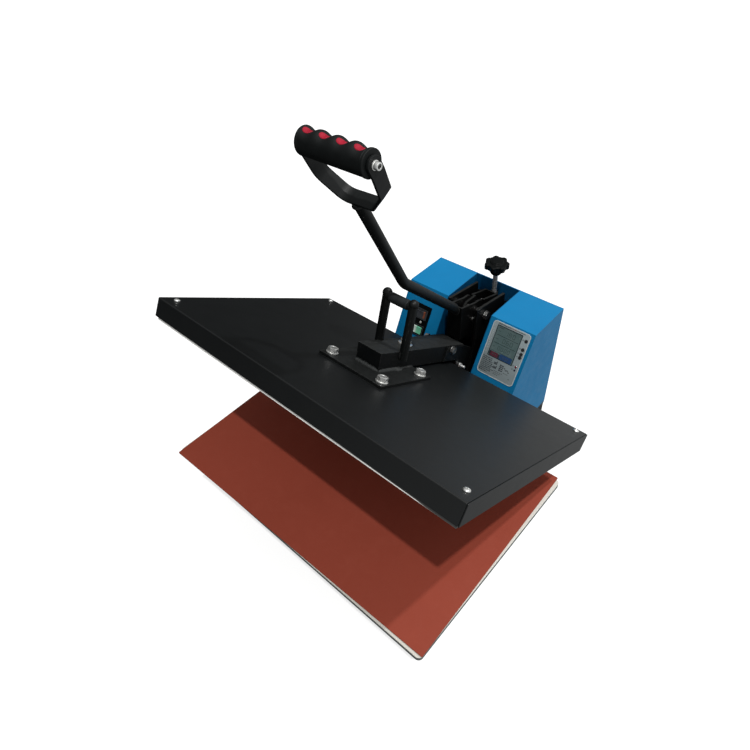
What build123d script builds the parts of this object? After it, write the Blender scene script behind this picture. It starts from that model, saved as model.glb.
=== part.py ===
from build123d import *
import math
import os

# ---------------------------------------------------------------------------
# Clamshell dry-mounting / heat press, 600 x 400 mm platens, shown open.
# Working frame: x to the operator's right, y to the back, z up, millimetres.
# y = 0, z = 0 is the middle of the lower plate's top face.  Every piece is
# moved by SHIFT at the end, so that the origin is the middle of the bounding
# box at the level of the rubber feet.
# ---------------------------------------------------------------------------

# ---- driving dimensions ----
PLATE_W, PLATE_D, PLATE_T = 600.0, 400.0, 10.0      # lower plate
PAD_W, PAD_D, PAD_T, PAD_TURN = 596.4, 397.9, 2.5, 1.09   # silicone pad, laid slightly askew
COVER_W, COVER_D, COVER_H, SHEET = 620.0, 426.0, 33.0, 1.5   # upper cover
OPEN_ANGLE = 31.2                                   # platen opening
LEVER_ANGLE = 42.0                                  # lever swing
FRONT_Y, FRONT_Z = -140.4, 293.5                    # cover's lower front edge, open
HINGE_Y, HINGE_Z, HINGE_R = 333.0, 20.0, 8.0        # main hinge shaft
PIVOT_Y, PIVOT_Z, PIVOT_R = 333.0, 165.0, 6.0       # lever pivot
TOGGLE_DIR, TOGGLE_SPAN = 260.0, 116.0              # toggle line when closed
PIN_R = 4.5                                         # toggle pins
ARM_HALF, ARM_BOT, ARM_TOP = 24.8, 38.0, 70.0       # arm tube (x, above cover's lower edge)
ARM_FRONT_LO, ARM_FRONT_HI, ARM_REAR = 186.0, 178.0, 449.0
LUG_IN, LUG_OUT = 24.8, 28.4
CHEEK_IN, CHEEK_OUT = 29.0, 34.0
FORK_IN, FORK_OUT = 11.0, 15.0
BRK_IN, BRK_OUT = 6.4, 10.4
LINK_IN, LINK_OUT = 20.2, 24.2
BAR_R = 9.0                                         # lever bar
SCREW_Y, SCREW_R, ADJUST = 416.5, 5.0, 1.5          # pressure screw, its travel each way
HOUSE_OUT, HOUSE_IN, HOUSE_BACK = 146.5, 50.4, 431.0
HOUSE_TOP, HOUSE_BOT, HOUSE_FRONT, SLOPE = 173.0, -84.0, 330.0, 0.532
HOUSE_T = 2.0
TABLE = -150.0                                      # level the feet stand on
SHIFT = (0.0, -117.295, 150.0)

os.makedirs("parts", exist_ok=True)
NODES = {}


def box(x0, x1, y0, y1, z0, z1):
    return Pos((x0 + x1) / 2, (y0 + y1) / 2, (z0 + z1) / 2) * Box(x1 - x0, y1 - y0, z1 - z0)


def cyl_x(y, z, r, x0, x1):
    return Pos((x0 + x1) / 2, y, z) * Rot(0, 90, 0) * Cylinder(r, x1 - x0)


def cyl_y(x, z, r, y0, y1):
    return Pos(x, (y0 + y1) / 2, z) * Rot(90, 0, 0) * Cylinder(r, y1 - y0)


def cyl_z(x, y, r, z0, z1):
    return Pos(x, y, (z0 + z1) / 2) * Cylinder(r, z1 - z0)


def hex_z(x, y, af, z0, z1):
    return Pos(x, y, z0) * extrude(RegularPolygon(af / 2, 6, major_radius=False), amount=z1 - z0)


def hex_x(y, z, af, x0, x1):
    return Pos(x0, y, z) * Rot(0, 90, 0) * extrude(RegularPolygon(af / 2, 6, major_radius=False), amount=x1 - x0)


def prism_x(pts, x0, x1):
    face = make_face(Polyline(*[(x0, y, z) for y, z in pts], close=True))
    return extrude(face, amount=x1 - x0, dir=(1, 0, 0))


def prism_y(pts, y0, y1):
    face = make_face(Polyline(*[(x, y0, z) for x, z in pts], close=True))
    return extrude(face, amount=y1 - y0, dir=(0, 1, 0))


def capsule_x(p, q, rp, rq, x0, x1):
    """A link outline: two discs joined by their common tangents."""
    dy, dz = q[0] - p[0], q[1] - p[1]
    d = math.hypot(dy, dz)
    a = math.atan2(dz, dy)
    b = math.acos((rp - rq) / d)
    pts = [(p[0] + rp * math.cos(a + b), p[1] + rp * math.sin(a + b)),
           (q[0] + rq * math.cos(a + b), q[1] + rq * math.sin(a + b)),
           (q[0] + rq * math.cos(a - b), q[1] + rq * math.sin(a - b)),
           (p[0] + rp * math.cos(a - b), p[1] + rp * math.sin(a - b))]
    return prism_x(pts, x0, x1) + cyl_x(p[0], p[1], rp, x0, x1) + cyl_x(q[0], q[1], rq, x0, x1)


def both(solid):
    """The piece and its mirror image on the other side of the middle plane."""
    return [solid, mirror(solid, about=Plane.YZ)]


def node(name, *parts):
    flat = []
    for p in parts:
        if isinstance(p, (list, tuple)):
            flat += list(p)
        else:
            flat.append(p)
    solids = []
    for p in flat:
        solids += list(p.solids())
    solids = [Pos(*SHIFT) * s for s in solids]
    NODES[name] = solids[0] if len(solids) == 1 else Compound(children=solids)


# ---- platen frame: x, v from the cover's front edge back, t up from its lower edge ----
TH = math.radians(OPEN_ANGLE)
UP = Pos(0, FRONT_Y, FRONT_Z) * Rot(-OPEN_ANGLE, 0, 0)


def up(v, t):
    return (FRONT_Y + v * math.cos(TH) + t * math.sin(TH), FRONT_Z - v * math.sin(TH) + t * math.cos(TH))


def turn(p, c, a):
    y, z = p[0] - c[0], p[1] - c[1]
    return (c[0] + y * math.cos(a) - z * math.sin(a), c[1] + y * math.sin(a) + z * math.cos(a))


# ---- toggle geometry: crank and link lie in one line when the press is closed ----
A = (HINGE_Y, HINGE_Z)
B = (PIVOT_Y, PIVOT_Z)
beta = math.radians(TOGGLE_DIR)
ub = (math.cos(beta), math.sin(beta))
Q_CLOSED = (B[0] + TOGGLE_SPAN * ub[0], B[1] + TOGGLE_SPAN * ub[1])
Q = turn(Q_CLOSED, A, -TH)
uo = (math.cos(beta - math.radians(LEVER_ANGLE)), math.sin(beta - math.radians(LEVER_ANGLE)))
w = (B[0] - Q[0], B[1] - Q[1])
CRANK = (TOGGLE_SPAN ** 2 - w[0] ** 2 - w[1] ** 2) / (2 * (w[0] * uo[0] + w[1] * uo[1]) + 2 * TOGGLE_SPAN)
LINK = TOGGLE_SPAN - CRANK
P = (B[0] + CRANK * uo[0], B[1] + CRANK * uo[1])
P_CLOSED = (B[0] + CRANK * ub[0], B[1] + CRANK * ub[1])
a_open = math.degrees(math.atan2(Q[1] - P[1], Q[0] - P[0]))
a_closed = math.degrees(math.atan2(Q_CLOSED[1] - P_CLOSED[1], Q_CLOSED[0] - P_CLOSED[0]))
print("crank %.2f link %.2f" % (CRANK, LINK), "P", P, "Q", Q, "link turn", (a_closed - a_open + 180) % 360 - 180)

# ======================= base =======================
RAIL_X0, RAIL_X1 = 106.0, 146.0
RAIL_Y0, RAIL_Y1 = -105.0, 429.0
RAIL_Z0, RAIL_Z1 = -130.0, -90.0


def tube_y(x0, x1, y0, y1, z0, z1, t):
    return box(x0, x1, y0, y1, z0, z1) - box(x0 + t, x1 - t, y0 - 1, y1 + 1, z0 + t, z1 - t)


def tube_x(x0, x1, y0, y1, z0, z1, t):
    return box(x0, x1, y0, y1, z0, z1) - box(x0 - 1, x1 + 1, y0 + t, y1 - t, z0 + t, z1 - t)


FEET = [(sx * 126.0, y) for sx in (-1, 1) for y in (-75.0, 400.0)]
rail = tube_y(RAIL_X0, RAIL_X1, RAIL_Y0, RAIL_Y1, RAIL_Z0, RAIL_Z1, 2.5)
for y in (-75.0, 400.0):
    rail -= cyl_z(126, y, 4.2, RAIL_Z0 - 1, RAIL_Z0 + 3)
rail += box(RAIL_X0 + 1, RAIL_X1 - 1, RAIL_Y0, RAIL_Y0 + 3, RAIL_Z0 + 1, RAIL_Z1 - 1)
rail += box(RAIL_X0 + 1, RAIL_X1 - 1, RAIL_Y1 - 3, RAIL_Y1, RAIL_Z0 + 1, RAIL_Z1 - 1)
node("base_frame", both(rail),
     tube_x(-RAIL_X0, RAIL_X0, -90, -60, RAIL_Z0, RAIL_Z1, 2.5),
     tube_x(-RAIL_X0, RAIL_X0, 60, 90, RAIL_Z0, RAIL_Z1, 2.5),
     tube_x(-RAIL_X0, RAIL_X0, 262, 292, RAIL_Z0, RAIL_Z1, 2.5),
     tube_x(-RAIL_X0, RAIL_X0, 380, 410, RAIL_Z0, RAIL_Z1, 2.5))
foot = Pos(0, 0, -20) * Cone(17, 14.5, 20, align=(Align.CENTER, Align.CENTER, Align.MIN))
foot = foot - cyl_z(0, 0, 8, -20, -10) - cyl_z(0, 0, 4.2, -11, 1)
node("rubber_feet", [Pos(x, y, RAIL_Z0) * foot for x, y in FEET])
fscrew = Pos(0, 0, 0) * (cyl_z(0, 0, 4, -12, 6) + cyl_z(0, 0, 7.5, -16, -10) + hex_z(0, 0, 13, 2.5, 7))
bed_bolts = [cyl_z(x, y, 4.0, -16, -3) + hex_z(x, y, 13, -21.3, -16) for x, y in [(sx * 90.0, yy) for sx in (-1, 1) for yy in (-60.0, 140.0)]]
node("frame_screws", [Pos(x, y, RAIL_Z0) * fscrew for x, y in FEET], bed_bolts)

deck = box(-146.5, 146.5, 240, 431, -90, -84)
node("rear_deck", deck)

# posts, spreader and the lower plate
POSTS = [(sx * 126.0, y) for sx in (-1, 1) for y in (-72.0, 150.0)]
posts = [box(x - 15, x + 15, y - 15, y + 15, -90, -16) - box(x - 12.5, x + 12.5, y - 12.5, y + 12.5, -91, -15)
         for x, y in POSTS]
spreader = box(-150, 150, -100, 178, -16, -10)
BEDBOLTS = [(sx * 90.0, y) for sx in (-1, 1) for y in (-60.0, 140.0)]
for x, y in BEDBOLTS:
    spreader -= cyl_z(x, y, 4.2, -17, -9)
node("bed_stand", posts, spreader)
lower = extrude(RectangleRounded(PLATE_W, PLATE_D, 8), amount=PLATE_T)
lower = Pos(0, 0, -PLATE_T) * lower
lower = chamfer(lower.faces().sort_by(Axis.Z)[-1].edges(), 0.8)
for x, y in BEDBOLTS:
    lower -= cyl_z(x, y, 4.0, -11, -3)
node("lower_plate", lower)
pad = extrude(RectangleRounded(PAD_W, PAD_D, 1.5), amount=PAD_T)
node("silicone_pad", Pos(-1.1, -1.5, 0) * Rot(0, 0, PAD_TURN) * pad)

# cheek plates that carry the main shaft and the lever pivot
cheek_pts = [(262, -84), (427, -84), (427, 140), (402, 156), (402, 175), (305, 192), (305, 110), (292, 60), (262, 10)]
cheek = prism_x(cheek_pts, CHEEK_IN, CHEEK_OUT)
cheek -= cyl_x(A[0], A[1], HINGE_R, CHEEK_IN - 1, CHEEK_OUT + 1)
slot = capsule_x((B[0], B[1] - ADJUST - 0.2), (B[0], B[1] + ADJUST + 0.2), PIVOT_R + 0.3, PIVOT_R + 0.3, CHEEK_IN - 1, CHEEK_OUT + 1)
cheek -= slot
node("cheek_plates", both(cheek), box(-CHEEK_IN, CHEEK_IN, 270, 276, -84, -20), box(-CHEEK_IN, CHEEK_IN, 400, 406, -84, -20))

shaft = cyl_x(A[0], A[1], HINGE_R, -43, 43)
nut = hex_x(A[0], A[1], 24, CHEEK_OUT, CHEEK_OUT + 7) - cyl_x(A[0], A[1], HINGE_R, CHEEK_OUT - 1, CHEEK_OUT + 8)
node("hinge_shaft", shaft, both(nut))

thrust = box(-CHEEK_IN, CHEEK_IN, 406, 425, 84, 108) - cyl_z(0, SCREW_Y, SCREW_R + 0.06, 80, 110)
node("screw_thrust_block", thrust)

# ---- housings: two sheet-metal boxes either side of the lever ----
def front_y(z):
    return HOUSE_FRONT - SLOPE * (HOUSE_TOP - z)


KNEE = 20.0
prof = [(front_y(KNEE), HOUSE_BOT), (front_y(KNEE), KNEE), (HOUSE_FRONT, HOUSE_TOP),
        (HOUSE_BACK - HOUSE_T, HOUSE_TOP), (HOUSE_BACK - HOUSE_T, HOUSE_BOT)]
t = HOUSE_T
sl = t * math.sqrt(1 + SLOPE ** 2)
kn = (math.sqrt(1 + SLOPE ** 2) - SLOPE) * 0 + KNEE - t * 0.30
prof_in = [(front_y(KNEE) + t, HOUSE_BOT - 1), (front_y(KNEE) + t, KNEE - 0.5),
           (front_y(HOUSE_TOP - t) + sl, HOUSE_TOP - t),
           (HOUSE_BACK - HOUSE_T + 1, HOUSE_TOP - t), (HOUSE_BACK - HOUSE_T + 1, HOUSE_BOT - 1)]
lobe = prism_x(prof, HOUSE_IN, HOUSE_OUT) - prism_x(prof_in, HOUSE_IN + t, HOUSE_OUT - t)

# frame on the sloping fronts: x, y up the slope from the top front edge, z outward
FACE = Pos(0, HOUSE_FRONT, HOUSE_TOP) * Rot(math.degrees(math.atan2(1, SLOPE)), 0, 0)
KEYS = [(133.7, 17.8), (133.7, 35.0), (133.7, 44.2), (133.7, 51.0)]
LEDS = [(133.3, 70.6), (133.3, 77.2)]
right = lobe
for x, d in KEYS:
    right -= FACE * cyl_z(x, -d, 2.6, -4, 1)
right -= FACE * box(70, 125, -73, -9, -4, 1)
left = mirror(lobe, about=Plane.YZ)
SWX = -98.5
left -= FACE * box(SWX - 12.5, SWX + 14.5, -67, -48, -4, 1)
left -= FACE * box(SWX - 8.5, SWX + 15.5, -102, -82, -4, 1)
left -= FACE * cyl_z(-93.2, -74.8, 2.0, -4, 1)
node("housing_right", right)
node("housing_left", left)

rear = box(-HOUSE_OUT, HOUSE_OUT, HOUSE_BACK - HOUSE_T, HOUSE_BACK, HOUSE_BOT, HOUSE_TOP)
for sx in (-1, 1):
    for k in range(7):
        rear -= box(sx * 98.5 - 30, sx * 98.5 + 30, 428, 432, 60 + 10 * k, 63.5 + 10 * k)
GLAND = (105.0, -50.0)
rear -= cyl_y(GLAND[0], GLAND[1], 8.0, 428, 432)
RSCREWS = [(sx * x, z) for sx in (-1, 1) for x in (60.0, 139.0) for z in (-70.0, 160.0)]
node("rear_panel", rear)
scr = []
for x, z in RSCREWS:
    s = cyl_y(x, z, 3.6, HOUSE_BACK, HOUSE_BACK + 2.2)
    scr.append(s)
node("rear_screws", scr)
gl = cyl_y(GLAND[0], GLAND[1], 8.0, 424, HOUSE_BACK) + Pos(GLAND[0], HOUSE_BACK, GLAND[1]) * Rot(-90, 0, 0) * extrude(RegularPolygon(10, 6, major_radius=False), amount=5)
gl += cyl_y(GLAND[0], GLAND[1], 7.5, HOUSE_BACK + 5, HOUSE_BACK + 8)
gl -= cyl_y(GLAND[0], GLAND[1], 3.6, 430, HOUSE_BACK + 9)
node("mains_gland", gl)

# control panel on the right front
panel = Pos(100, -57.2, 0) * extrude(RectangleRounded(80, 108, 7), amount=1.2)
panel -= box(71.5, 123.5, -71.5, -10.5, -1, 2)
for x, d in KEYS:
    panel -= cyl_z(x, -d, 2.6, -1, 2)
for x, d in LEDS:
    panel -= cyl_z(x, -d, 1.6, -1, 2)
node("control_panel", FACE * panel)
lcd = box(71.5, 123.5, -71.5, -10.5, -2.0, 0.7)
node("lcd_window", FACE * lcd)
for i, (x, d) in enumerate(KEYS):
    node("panel_key_%d" % (i + 1), FACE * (cyl_z(x, -d, 2.45, -4.5, 2.4)))
node("controller_module", FACE * (box(68, 138, -106, -6, -28, -6) - box(127, 139, -58, -12, -7.5, -5)))
node("solid_state_relay", box(85, 130, 402, 429, -40, 18))
node("terminal_block", box(62, 136, 345, 367, -84, -62))

# switches on the left front
plate = Pos(SWX, -70, 0) * extrude(RectangleRounded(43, 64, 2), amount=2.0)
B_X, B_Y = SWX + 1.0, -57.5
G_X, G_Y = SWX + 3.5, -92.0
plate -= box(B_X - 13.5, B_X + 13.5, B_Y - 9.5, B_Y + 9.5, -1, 3)
plate -= box(G_X - 12.0, G_X + 12.0, G_Y - 10.0, G_Y + 10.0, -1, 3)
plate -= cyl_z(-93.2, -74.8, 2.0, -1, 3)
node("switch_plate", FACE * plate)


def switch_body(cx, cy, hw, hh, iw, ih):
    b = box(cx - hw, cx + hw, cy - hh, cy + hh, -20, 2.0) + box(cx - hw - 1.5, cx + hw + 1.5, cy - hh - 0.9, cy + hh + 0.9, 2.0, 3.6)
    return b - box(cx - iw, cx + iw, cy - ih, cy + ih, -9, 4) - cyl_x(cy, 0, 1.3, cx - iw - 1.4, cx + iw + 1.4)


node("breaker_body", FACE * switch_body(B_X, B_Y, 13.5, 9.5, 11.0, 7.6))
node("switch_body", FACE * switch_body(G_X, G_Y, 12.0, 10.0, 10.2, 8.2))


def rocker(cx, cy, hw, hh, tilt):
    pts = [(-hh, 1.0), (-hh * 0.96, 4.6), (0, 3.4), (hh * 0.96, 4.6), (hh, 1.0), (0, -5.5)]
    r = prism_x(pts, -hw, hw)
    r += cyl_x(0, 0, 1.2, -hw - 1.6, hw + 1.6)
    return Pos(cx, cy, 0) * Rot(tilt, 0, 0) * r


ROCK = 8.0
node("breaker_rocker", FACE * rocker(B_X, B_Y, 10.6, 6.9, ROCK))
node("power_rocker", FACE * rocker(G_X, G_Y, 9.8, 7.5, ROCK))
node("indicator_lamps", FACE * (cyl_z(-93.2, -74.8, 2.0, -6, 2.0) + cyl_z(-93.2, -74.8, 2.8, 2.0, 3.4)),
     [FACE * (cyl_z(x, -d, 1.6, 0.0, 1.7)) for x, d in LEDS])

# ======================= platen arm =======================
MB = [(sx * 54.0, v) for sx in (-1, 1) for v in (158.0, 267.0)]
CS = [(sx * 293.0, v) for sx in (-1, 1) for v in (24.0, 411.0)]
cover = box(-COVER_W / 2, COVER_W / 2, 0, COVER_D, 0, COVER_H)
cover = cover - box(-COVER_W / 2 + SHEET, COVER_W / 2 - SHEET, SHEET, COVER_D - SHEET, -1, COVER_H - SHEET)
for x, v in MB:
    cover -= cyl_z(x, v, 5.4, 20, 40)
for x, v in CS:
    cover -= cyl_z(x, v, 2.3, 20, 40)
cover -= cyl_y(45, 18, 6.0, 415, 430)
node("platen_cover", UP * cover)

HP_LO, HP_HI = -6.0, 8.0
heat = box(-306, 306, 4, 422, HP_LO, HP_HI)
heat = chamfer(heat.faces().sort_by(Axis.Z)[0].edges(), 1.0)
for x, v in MB:
    heat -= cyl_z(x, v, 5.0, 1.0, 9)
for x, v in CS:
    heat -= cyl_z(x, v, 2.5, 2.0, 9)
node("heat_plate", UP * heat)

ins = box(-301, 301, 9, 417, 17.0, 31.0)
for x, v in MB:
    ins -= cyl_z(x, v, 8.2, 10, 40)
for x, v in CS:
    ins -= cyl_z(x, v, 5.3, 10, 40)
ins -= cyl_y(45, 18, 7.5, 395, 430)
node("insulation_board", UP * ins)

rows = [(-268, 60), (268, 60), (268, 112), (-268, 112), (-268, 213), (268, 213), (268, 314), (-268, 314), (-268, 368), (262, 368)]
path = FilletPolyline(*[(x, v, HP_HI + 4.1) for x, v in rows], radius=25)
elem = sweep(Plane(origin=(-268, 60, HP_HI + 4.1), z_dir=(1, 0, 0)) * Circle(4.0), path=path)
print("element volume / (area x length) = %.4f" % (elem.volume / (math.pi * 16 * path.length)))
node("heating_element", UP * elem)
node("thermocouple", UP * (box(145, 161, 150, 174, HP_HI, HP_HI + 7.5)))
standoffs = ([UP * (cyl_z(x, v, 5.0, HP_HI, COVER_H - SHEET) + cyl_z(x, v, 2.5, 2.0, HP_HI) - cyl_z(x, v, 1.9, 20, 32)) for x, v in CS])
node("cover_screws", [UP * (cyl_z(x, v, 1.9, 20, COVER_H) + Pos(x, v, COVER_H) * Cone(5.2, 3.4, 2.6, align=(Align.CENTER, Align.CENTER, Align.MIN))) for x, v in CS])
node("platen_spacers", standoffs, [UP * (cyl_z(x, v, 8.0, HP_HI, COVER_H - SHEET) - cyl_z(x, v, 5.4, 0, 40)) for x, v in MB])

mplate = box(-67, 67, 141, 285, COVER_H, ARM_BOT)
for x, v in MB:
    mplate -= cyl_z(x, v, 5.4, 30, 40)
node("arm_mount_plate", UP * mplate)
washers = [UP * (cyl_z(x, v, 10.5, ARM_BOT, ARM_BOT + 2) - cyl_z(x, v, 5.2, 30, 50)) for x, v in MB]
bolts = [UP * (cyl_z(x, v, 5.0, 1.0, ARM_BOT + 2) + hex_z(x, v, 16, ARM_BOT + 2, ARM_BOT + 8.4)) for x, v in MB]
node("mount_bolts", bolts, washers)

# arm: rectangular tube with a closed, slightly raked front end
arm_prof = [(ARM_FRONT_LO, ARM_BOT), (ARM_FRONT_HI, ARM_TOP), (ARM_REAR, ARM_TOP), (ARM_REAR, ARM_BOT)]
arm_in = [(ARM_FRONT_LO + 3, ARM_BOT + 3), (ARM_FRONT_HI + 4, ARM_TOP - 3), (ARM_REAR - 3, ARM_TOP - 3), (ARM_REAR - 3, ARM_BOT + 3)]
arm = prism_x(arm_prof, -ARM_HALF, ARM_HALF) - prism_x(arm_in, -ARM_HALF + 3, ARM_HALF - 3)
TB = 279.0
arm -= cyl_z(0, TB, 5.0, 60, 80)
LB = [(402.0, 63.0)]
for v, tt in LB:
    arm -= Pos(0, v, tt) * Rot(0, 90, 0) * Cylinder(4.0, 80)
node("upper_arm", UP * arm)

lug_pts = [up(385, 39.5), up(385, 68.5), up(449, 68.5), (Q[0] + 3, Q[1] + 12.5), (Q[0] + 11, Q[1] + 7),
           (A[0] + 19, A[1] + 8), (A[0] + 19, A[1] - 8), (A[0] + 8, A[1] - 19), (A[0] - 8, A[1] - 19), (256, 66), (252, 84), up(432, 39.5)]
lug = prism_x(lug_pts, LUG_IN, LUG_OUT) - cyl_x(A[0], A[1], 10.5, 20, 40) - cyl_x(Q[0], Q[1], PIN_R, 20, 40)
STUD = (264.5, 79.0)
lugb = []
for v, tt in LB:
    y, z = up(v, tt)
    lug -= cyl_x(y, z, 4.0, 20, 40)
    one = cyl_x(y, z, 4.0, ARM_HALF - 10, LUG_OUT + 1.5) + cyl_x(y, z, 8.0, LUG_OUT, LUG_OUT + 1.5)
    one += Pos(LUG_OUT + 1.5, y, z) * Rot(12, 0, 0) * Rot(0, 90, 0) * extrude(RegularPolygon(6.5, 6, major_radius=False), amount=5.3)
    lugb += both(one)
lug -= cyl_x(STUD[0], STUD[1], 2.5, 20, 40)
stud = cyl_x(STUD[0], STUD[1], 2.5, LUG_IN, LUG_OUT + 12.5) + cyl_x(STUD[0], STUD[1], 5.0, LUG_OUT, LUG_OUT + 1.2) + hex_x(STUD[0], STUD[1], 8, LUG_OUT + 1.2, LUG_OUT + 5.2)
lugb += both(stud)
node("arm_lugs", both(lug), cyl_x(A[0], A[1], 13.0, -LUG_IN, LUG_IN) - cyl_x(A[0], A[1], 10.5, -30, 30))
node("arm_bolts", UP * (cyl_z(0, TB, 5.0, 61, ARM_TOP + 2) + cyl_z(0, TB, 13.0, ARM_TOP, ARM_TOP + 2) + hex_z(0, TB, 17, ARM_TOP + 2, ARM_TOP + 8.4)), lugb)
node("hinge_bushes", both(cyl_x(A[0], A[1], 10.5, 10.0, LUG_OUT) - cyl_x(A[0], A[1], HINGE_R + 0.05, 5, 40)))
node("lower_toggle_pin", cyl_x(Q[0], Q[1], PIN_R, -LUG_OUT, LUG_OUT))

# bail: round rod bent to a U and welded across the arm
bt, bv, bh, br = 149.2, 220.0, 27.5, 7.6
BAIL_LEAN = 0.23
SLEEVE_HALF, SLEEVE_R = 18.6, 8.7
CAP_T, CAP_R = 153.8, 8.4


def bail_v(tt):
    return bv + (bt - tt) * BAIL_LEAN


lean = math.degrees(math.atan(BAIL_LEAN))
leg = Pos(bh, bail_v(CAP_T), CAP_T) * Rot(lean, 0, 0) * Pos(0, 0, -104) * Cylinder(br, 104, align=(Align.CENTER, Align.CENTER, Align.MIN))
leg += Pos(bh, bail_v(CAP_T), CAP_T) * Sphere(CAP_R)
bail = leg + mirror(leg, about=Plane.YZ) + Pos(0, bv, bt) * Rot(0, 90, 0) * Cylinder(br, 2 * bh)
bail -= box(-ARM_HALF, ARM_HALF, 150, 300, 30, ARM_TOP)
bail -= box(-60, 60, 150, 300, 30, 56)
sleeve = Pos(0, bv, bt) * Rot(0, 90, 0) * Cylinder(SLEEVE_R, 2 * SLEEVE_HALF)
sleeve = fillet(sleeve.edges().filter_by(GeomType.CIRCLE), 1.2)
sleeve -= Pos(0, bv, bt) * Rot(0, 90, 0) * Cylinder(br, 80)
node("bail_sleeve", UP * sleeve)
node("bail_handle", UP * bail)

pg = cyl_y(45, 18, 6.0, 419, 428) + Pos(45, 427.0, 18) * Rot(-90, 0, 0) * extrude(RegularPolygon(8.5, 6, major_radius=False), amount=6) + cyl_y(45, 18, 6.5, 433, 446)
pg += Pos(45, 426, 18) * Rot(-90, 0, 0) * Cylinder(8.5, 1.0, align=(Align.CENTER, Align.CENTER, Align.MIN))
pg -= cyl_y(45, 18, 3.6, 436, 450)
node("platen_gland", UP * pg)

# ======================= lever =======================
fork_pts = [(281, 125), (281, 202), (342.5, 182.6), (350.8, 152), (336, 143), (326, 140), (303, 125)]
side = prism_x(fork_pts, FORK_IN, FORK_OUT) + cyl_x(B[0], B[1], 22.0, FORK_IN, FORK_OUT) - cyl_x(B[0], B[1], PIVOT_R + 0.05, 5, 20) - cyl_x(P[0], P[1], PIN_R, 5, 20)
fork = side + mirror(side, about=Plane.YZ) + prism_x([(281, 125), (281, 202), (285, 200.7), (285, 125)], -FORK_OUT, FORK_OUT)
node("lever_fork", fork)

BEND = (136.2, 336.3)
SLOPE_ANGLE = 25.93
dirn = (-math.sin(math.radians(SLOPE_ANGLE)), math.cos(math.radians(SLOPE_ANGLE)))
YOKE_S = 196.0
low_dir = (BEND[0] - 281.0, BEND[1] - 195.6)
ll = math.hypot(*low_dir)
low = (281.0 - low_dir[0] / ll * 14, 195.6 - low_dir[1] / ll * 14)
top = (BEND[0] + dirn[0] * YOKE_S, BEND[1] + dirn[1] * YOKE_S)
lpath = FilletPolyline((0, low[0], low[1]), (0, BEND[0], BEND[1]), (0, top[0], top[1]), radius=45)
bar = sweep(Plane(origin=(0, low[0], low[1]), z_dir=(0, low_dir[0], low_dir[1])) * Circle(BAR_R), path=lpath)
bar -= box(-20, 20, 281, 320, 150, 230)

# yoke and grip: x, y across the flat bar, z along the lever's upper length
YK = Pos(0, BEND[0], BEND[1]) * Rot(SLOPE_ANGLE, 0, 0)
YW, YB = 5.5, 11.0
XR, XL, S_AX = 61.5, -57.0, 280.5          # bolted ends of the strap, grip axis
XB = 57.0                                  # right end of the strap's foot


def strip(pts, th):
    """Flat bar bent along pts (x, s): its outline with mitred corners."""
    n = len(pts)
    outs, ins_ = [], []
    for i in range(n):
        def unit(a, b):
            d = math.hypot(b[0] - a[0], b[1] - a[1])
            return ((b[0] - a[0]) / d, (b[1] - a[1]) / d)
        if i == 0:
            u = unit(pts[0], pts[1])
            nx, ny, k = -u[1], u[0], 1.0
        elif i == n - 1:
            u = unit(pts[-2], pts[-1])
            nx, ny, k = -u[1], u[0], 1.0
        else:
            u, v = unit(pts[i - 1], pts[i]), unit(pts[i], pts[i + 1])
            nx, ny = -(u[1] + v[1]), u[0] + v[0]
            m = math.hypot(nx, ny)
            nx, ny = nx / m, ny / m
            k = 1.0 / (nx * -u[1] + ny * u[0])
        outs.append((pts[i][0] + nx * k * th / 2, pts[i][1] + ny * k * th / 2))
        ins_.append((pts[i][0] - nx * k * th / 2, pts[i][1] - ny * k * th / 2))
    return outs + ins_[::-1]


def arc_pts(pts, r, n=6):
    """Round the inner corners of a polyline with short chords."""
    out = [pts[0]]
    for i in range(1, len(pts) - 1):
        p, c, q = pts[i - 1], pts[i], pts[i + 1]
        u = ((p[0] - c[0]), (p[1] - c[1]))
        v = ((q[0] - c[0]), (q[1] - c[1]))
        lu, lv = math.hypot(*u), math.hypot(*v)
        u, v = (u[0] / lu, u[1] / lu), (v[0] / lv, v[1] / lv)
        half = math.acos(u[0] * v[0] + u[1] * v[1]) / 2
        rr = r[i - 1]
        d = rr / math.tan(half)
        a, b = (c[0] + u[0] * d, c[1] + u[1] * d), (c[0] + v[0] * d, c[1] + v[1] * d)
        bx, by = u[0] + v[0], u[1] + v[1]
        bl = math.hypot(bx, by)
        o = (c[0] + bx / bl * rr / math.sin(half), c[1] + by / bl * rr / math.sin(half))
        a0, a1 = math.atan2(a[1] - o[1], a[0] - o[0]), math.atan2(b[1] - o[1], b[0] - o[0])
        da = (a1 - a0 + math.pi) % (2 * math.pi) - math.pi
        for k in range(n + 1):
            an = a0 + da * k / n
            out.append((o[0] + rr * math.cos(an), o[1] + rr * math.sin(an)))
    out.append(pts[-1])
    return out


line = [(XR, S_AX), (XR, 266), (XB, 231), (XB - 27, 198), (XL + 31, 194), (XL, 227), (XL, S_AX)]
line = arc_pts(line, [20, 5, 9, 24, 24])
yoke = prism_y(strip(line, 4.0), YW - YB, YW + YB)
yoke += cyl_x(YW, S_AX, YB, XR - 2, XR + 2) + cyl_x(YW, S_AX, YB, XL - 2, XL + 2)
yoke -= cyl_x(YW, S_AX, 3.1, XL - 10, XR + 10)
node("grip_yoke", YK * yoke)
node("lever_bar", bar - YK * yoke)

g0, g1 = XL + 2.2, XR - 2.8
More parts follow.
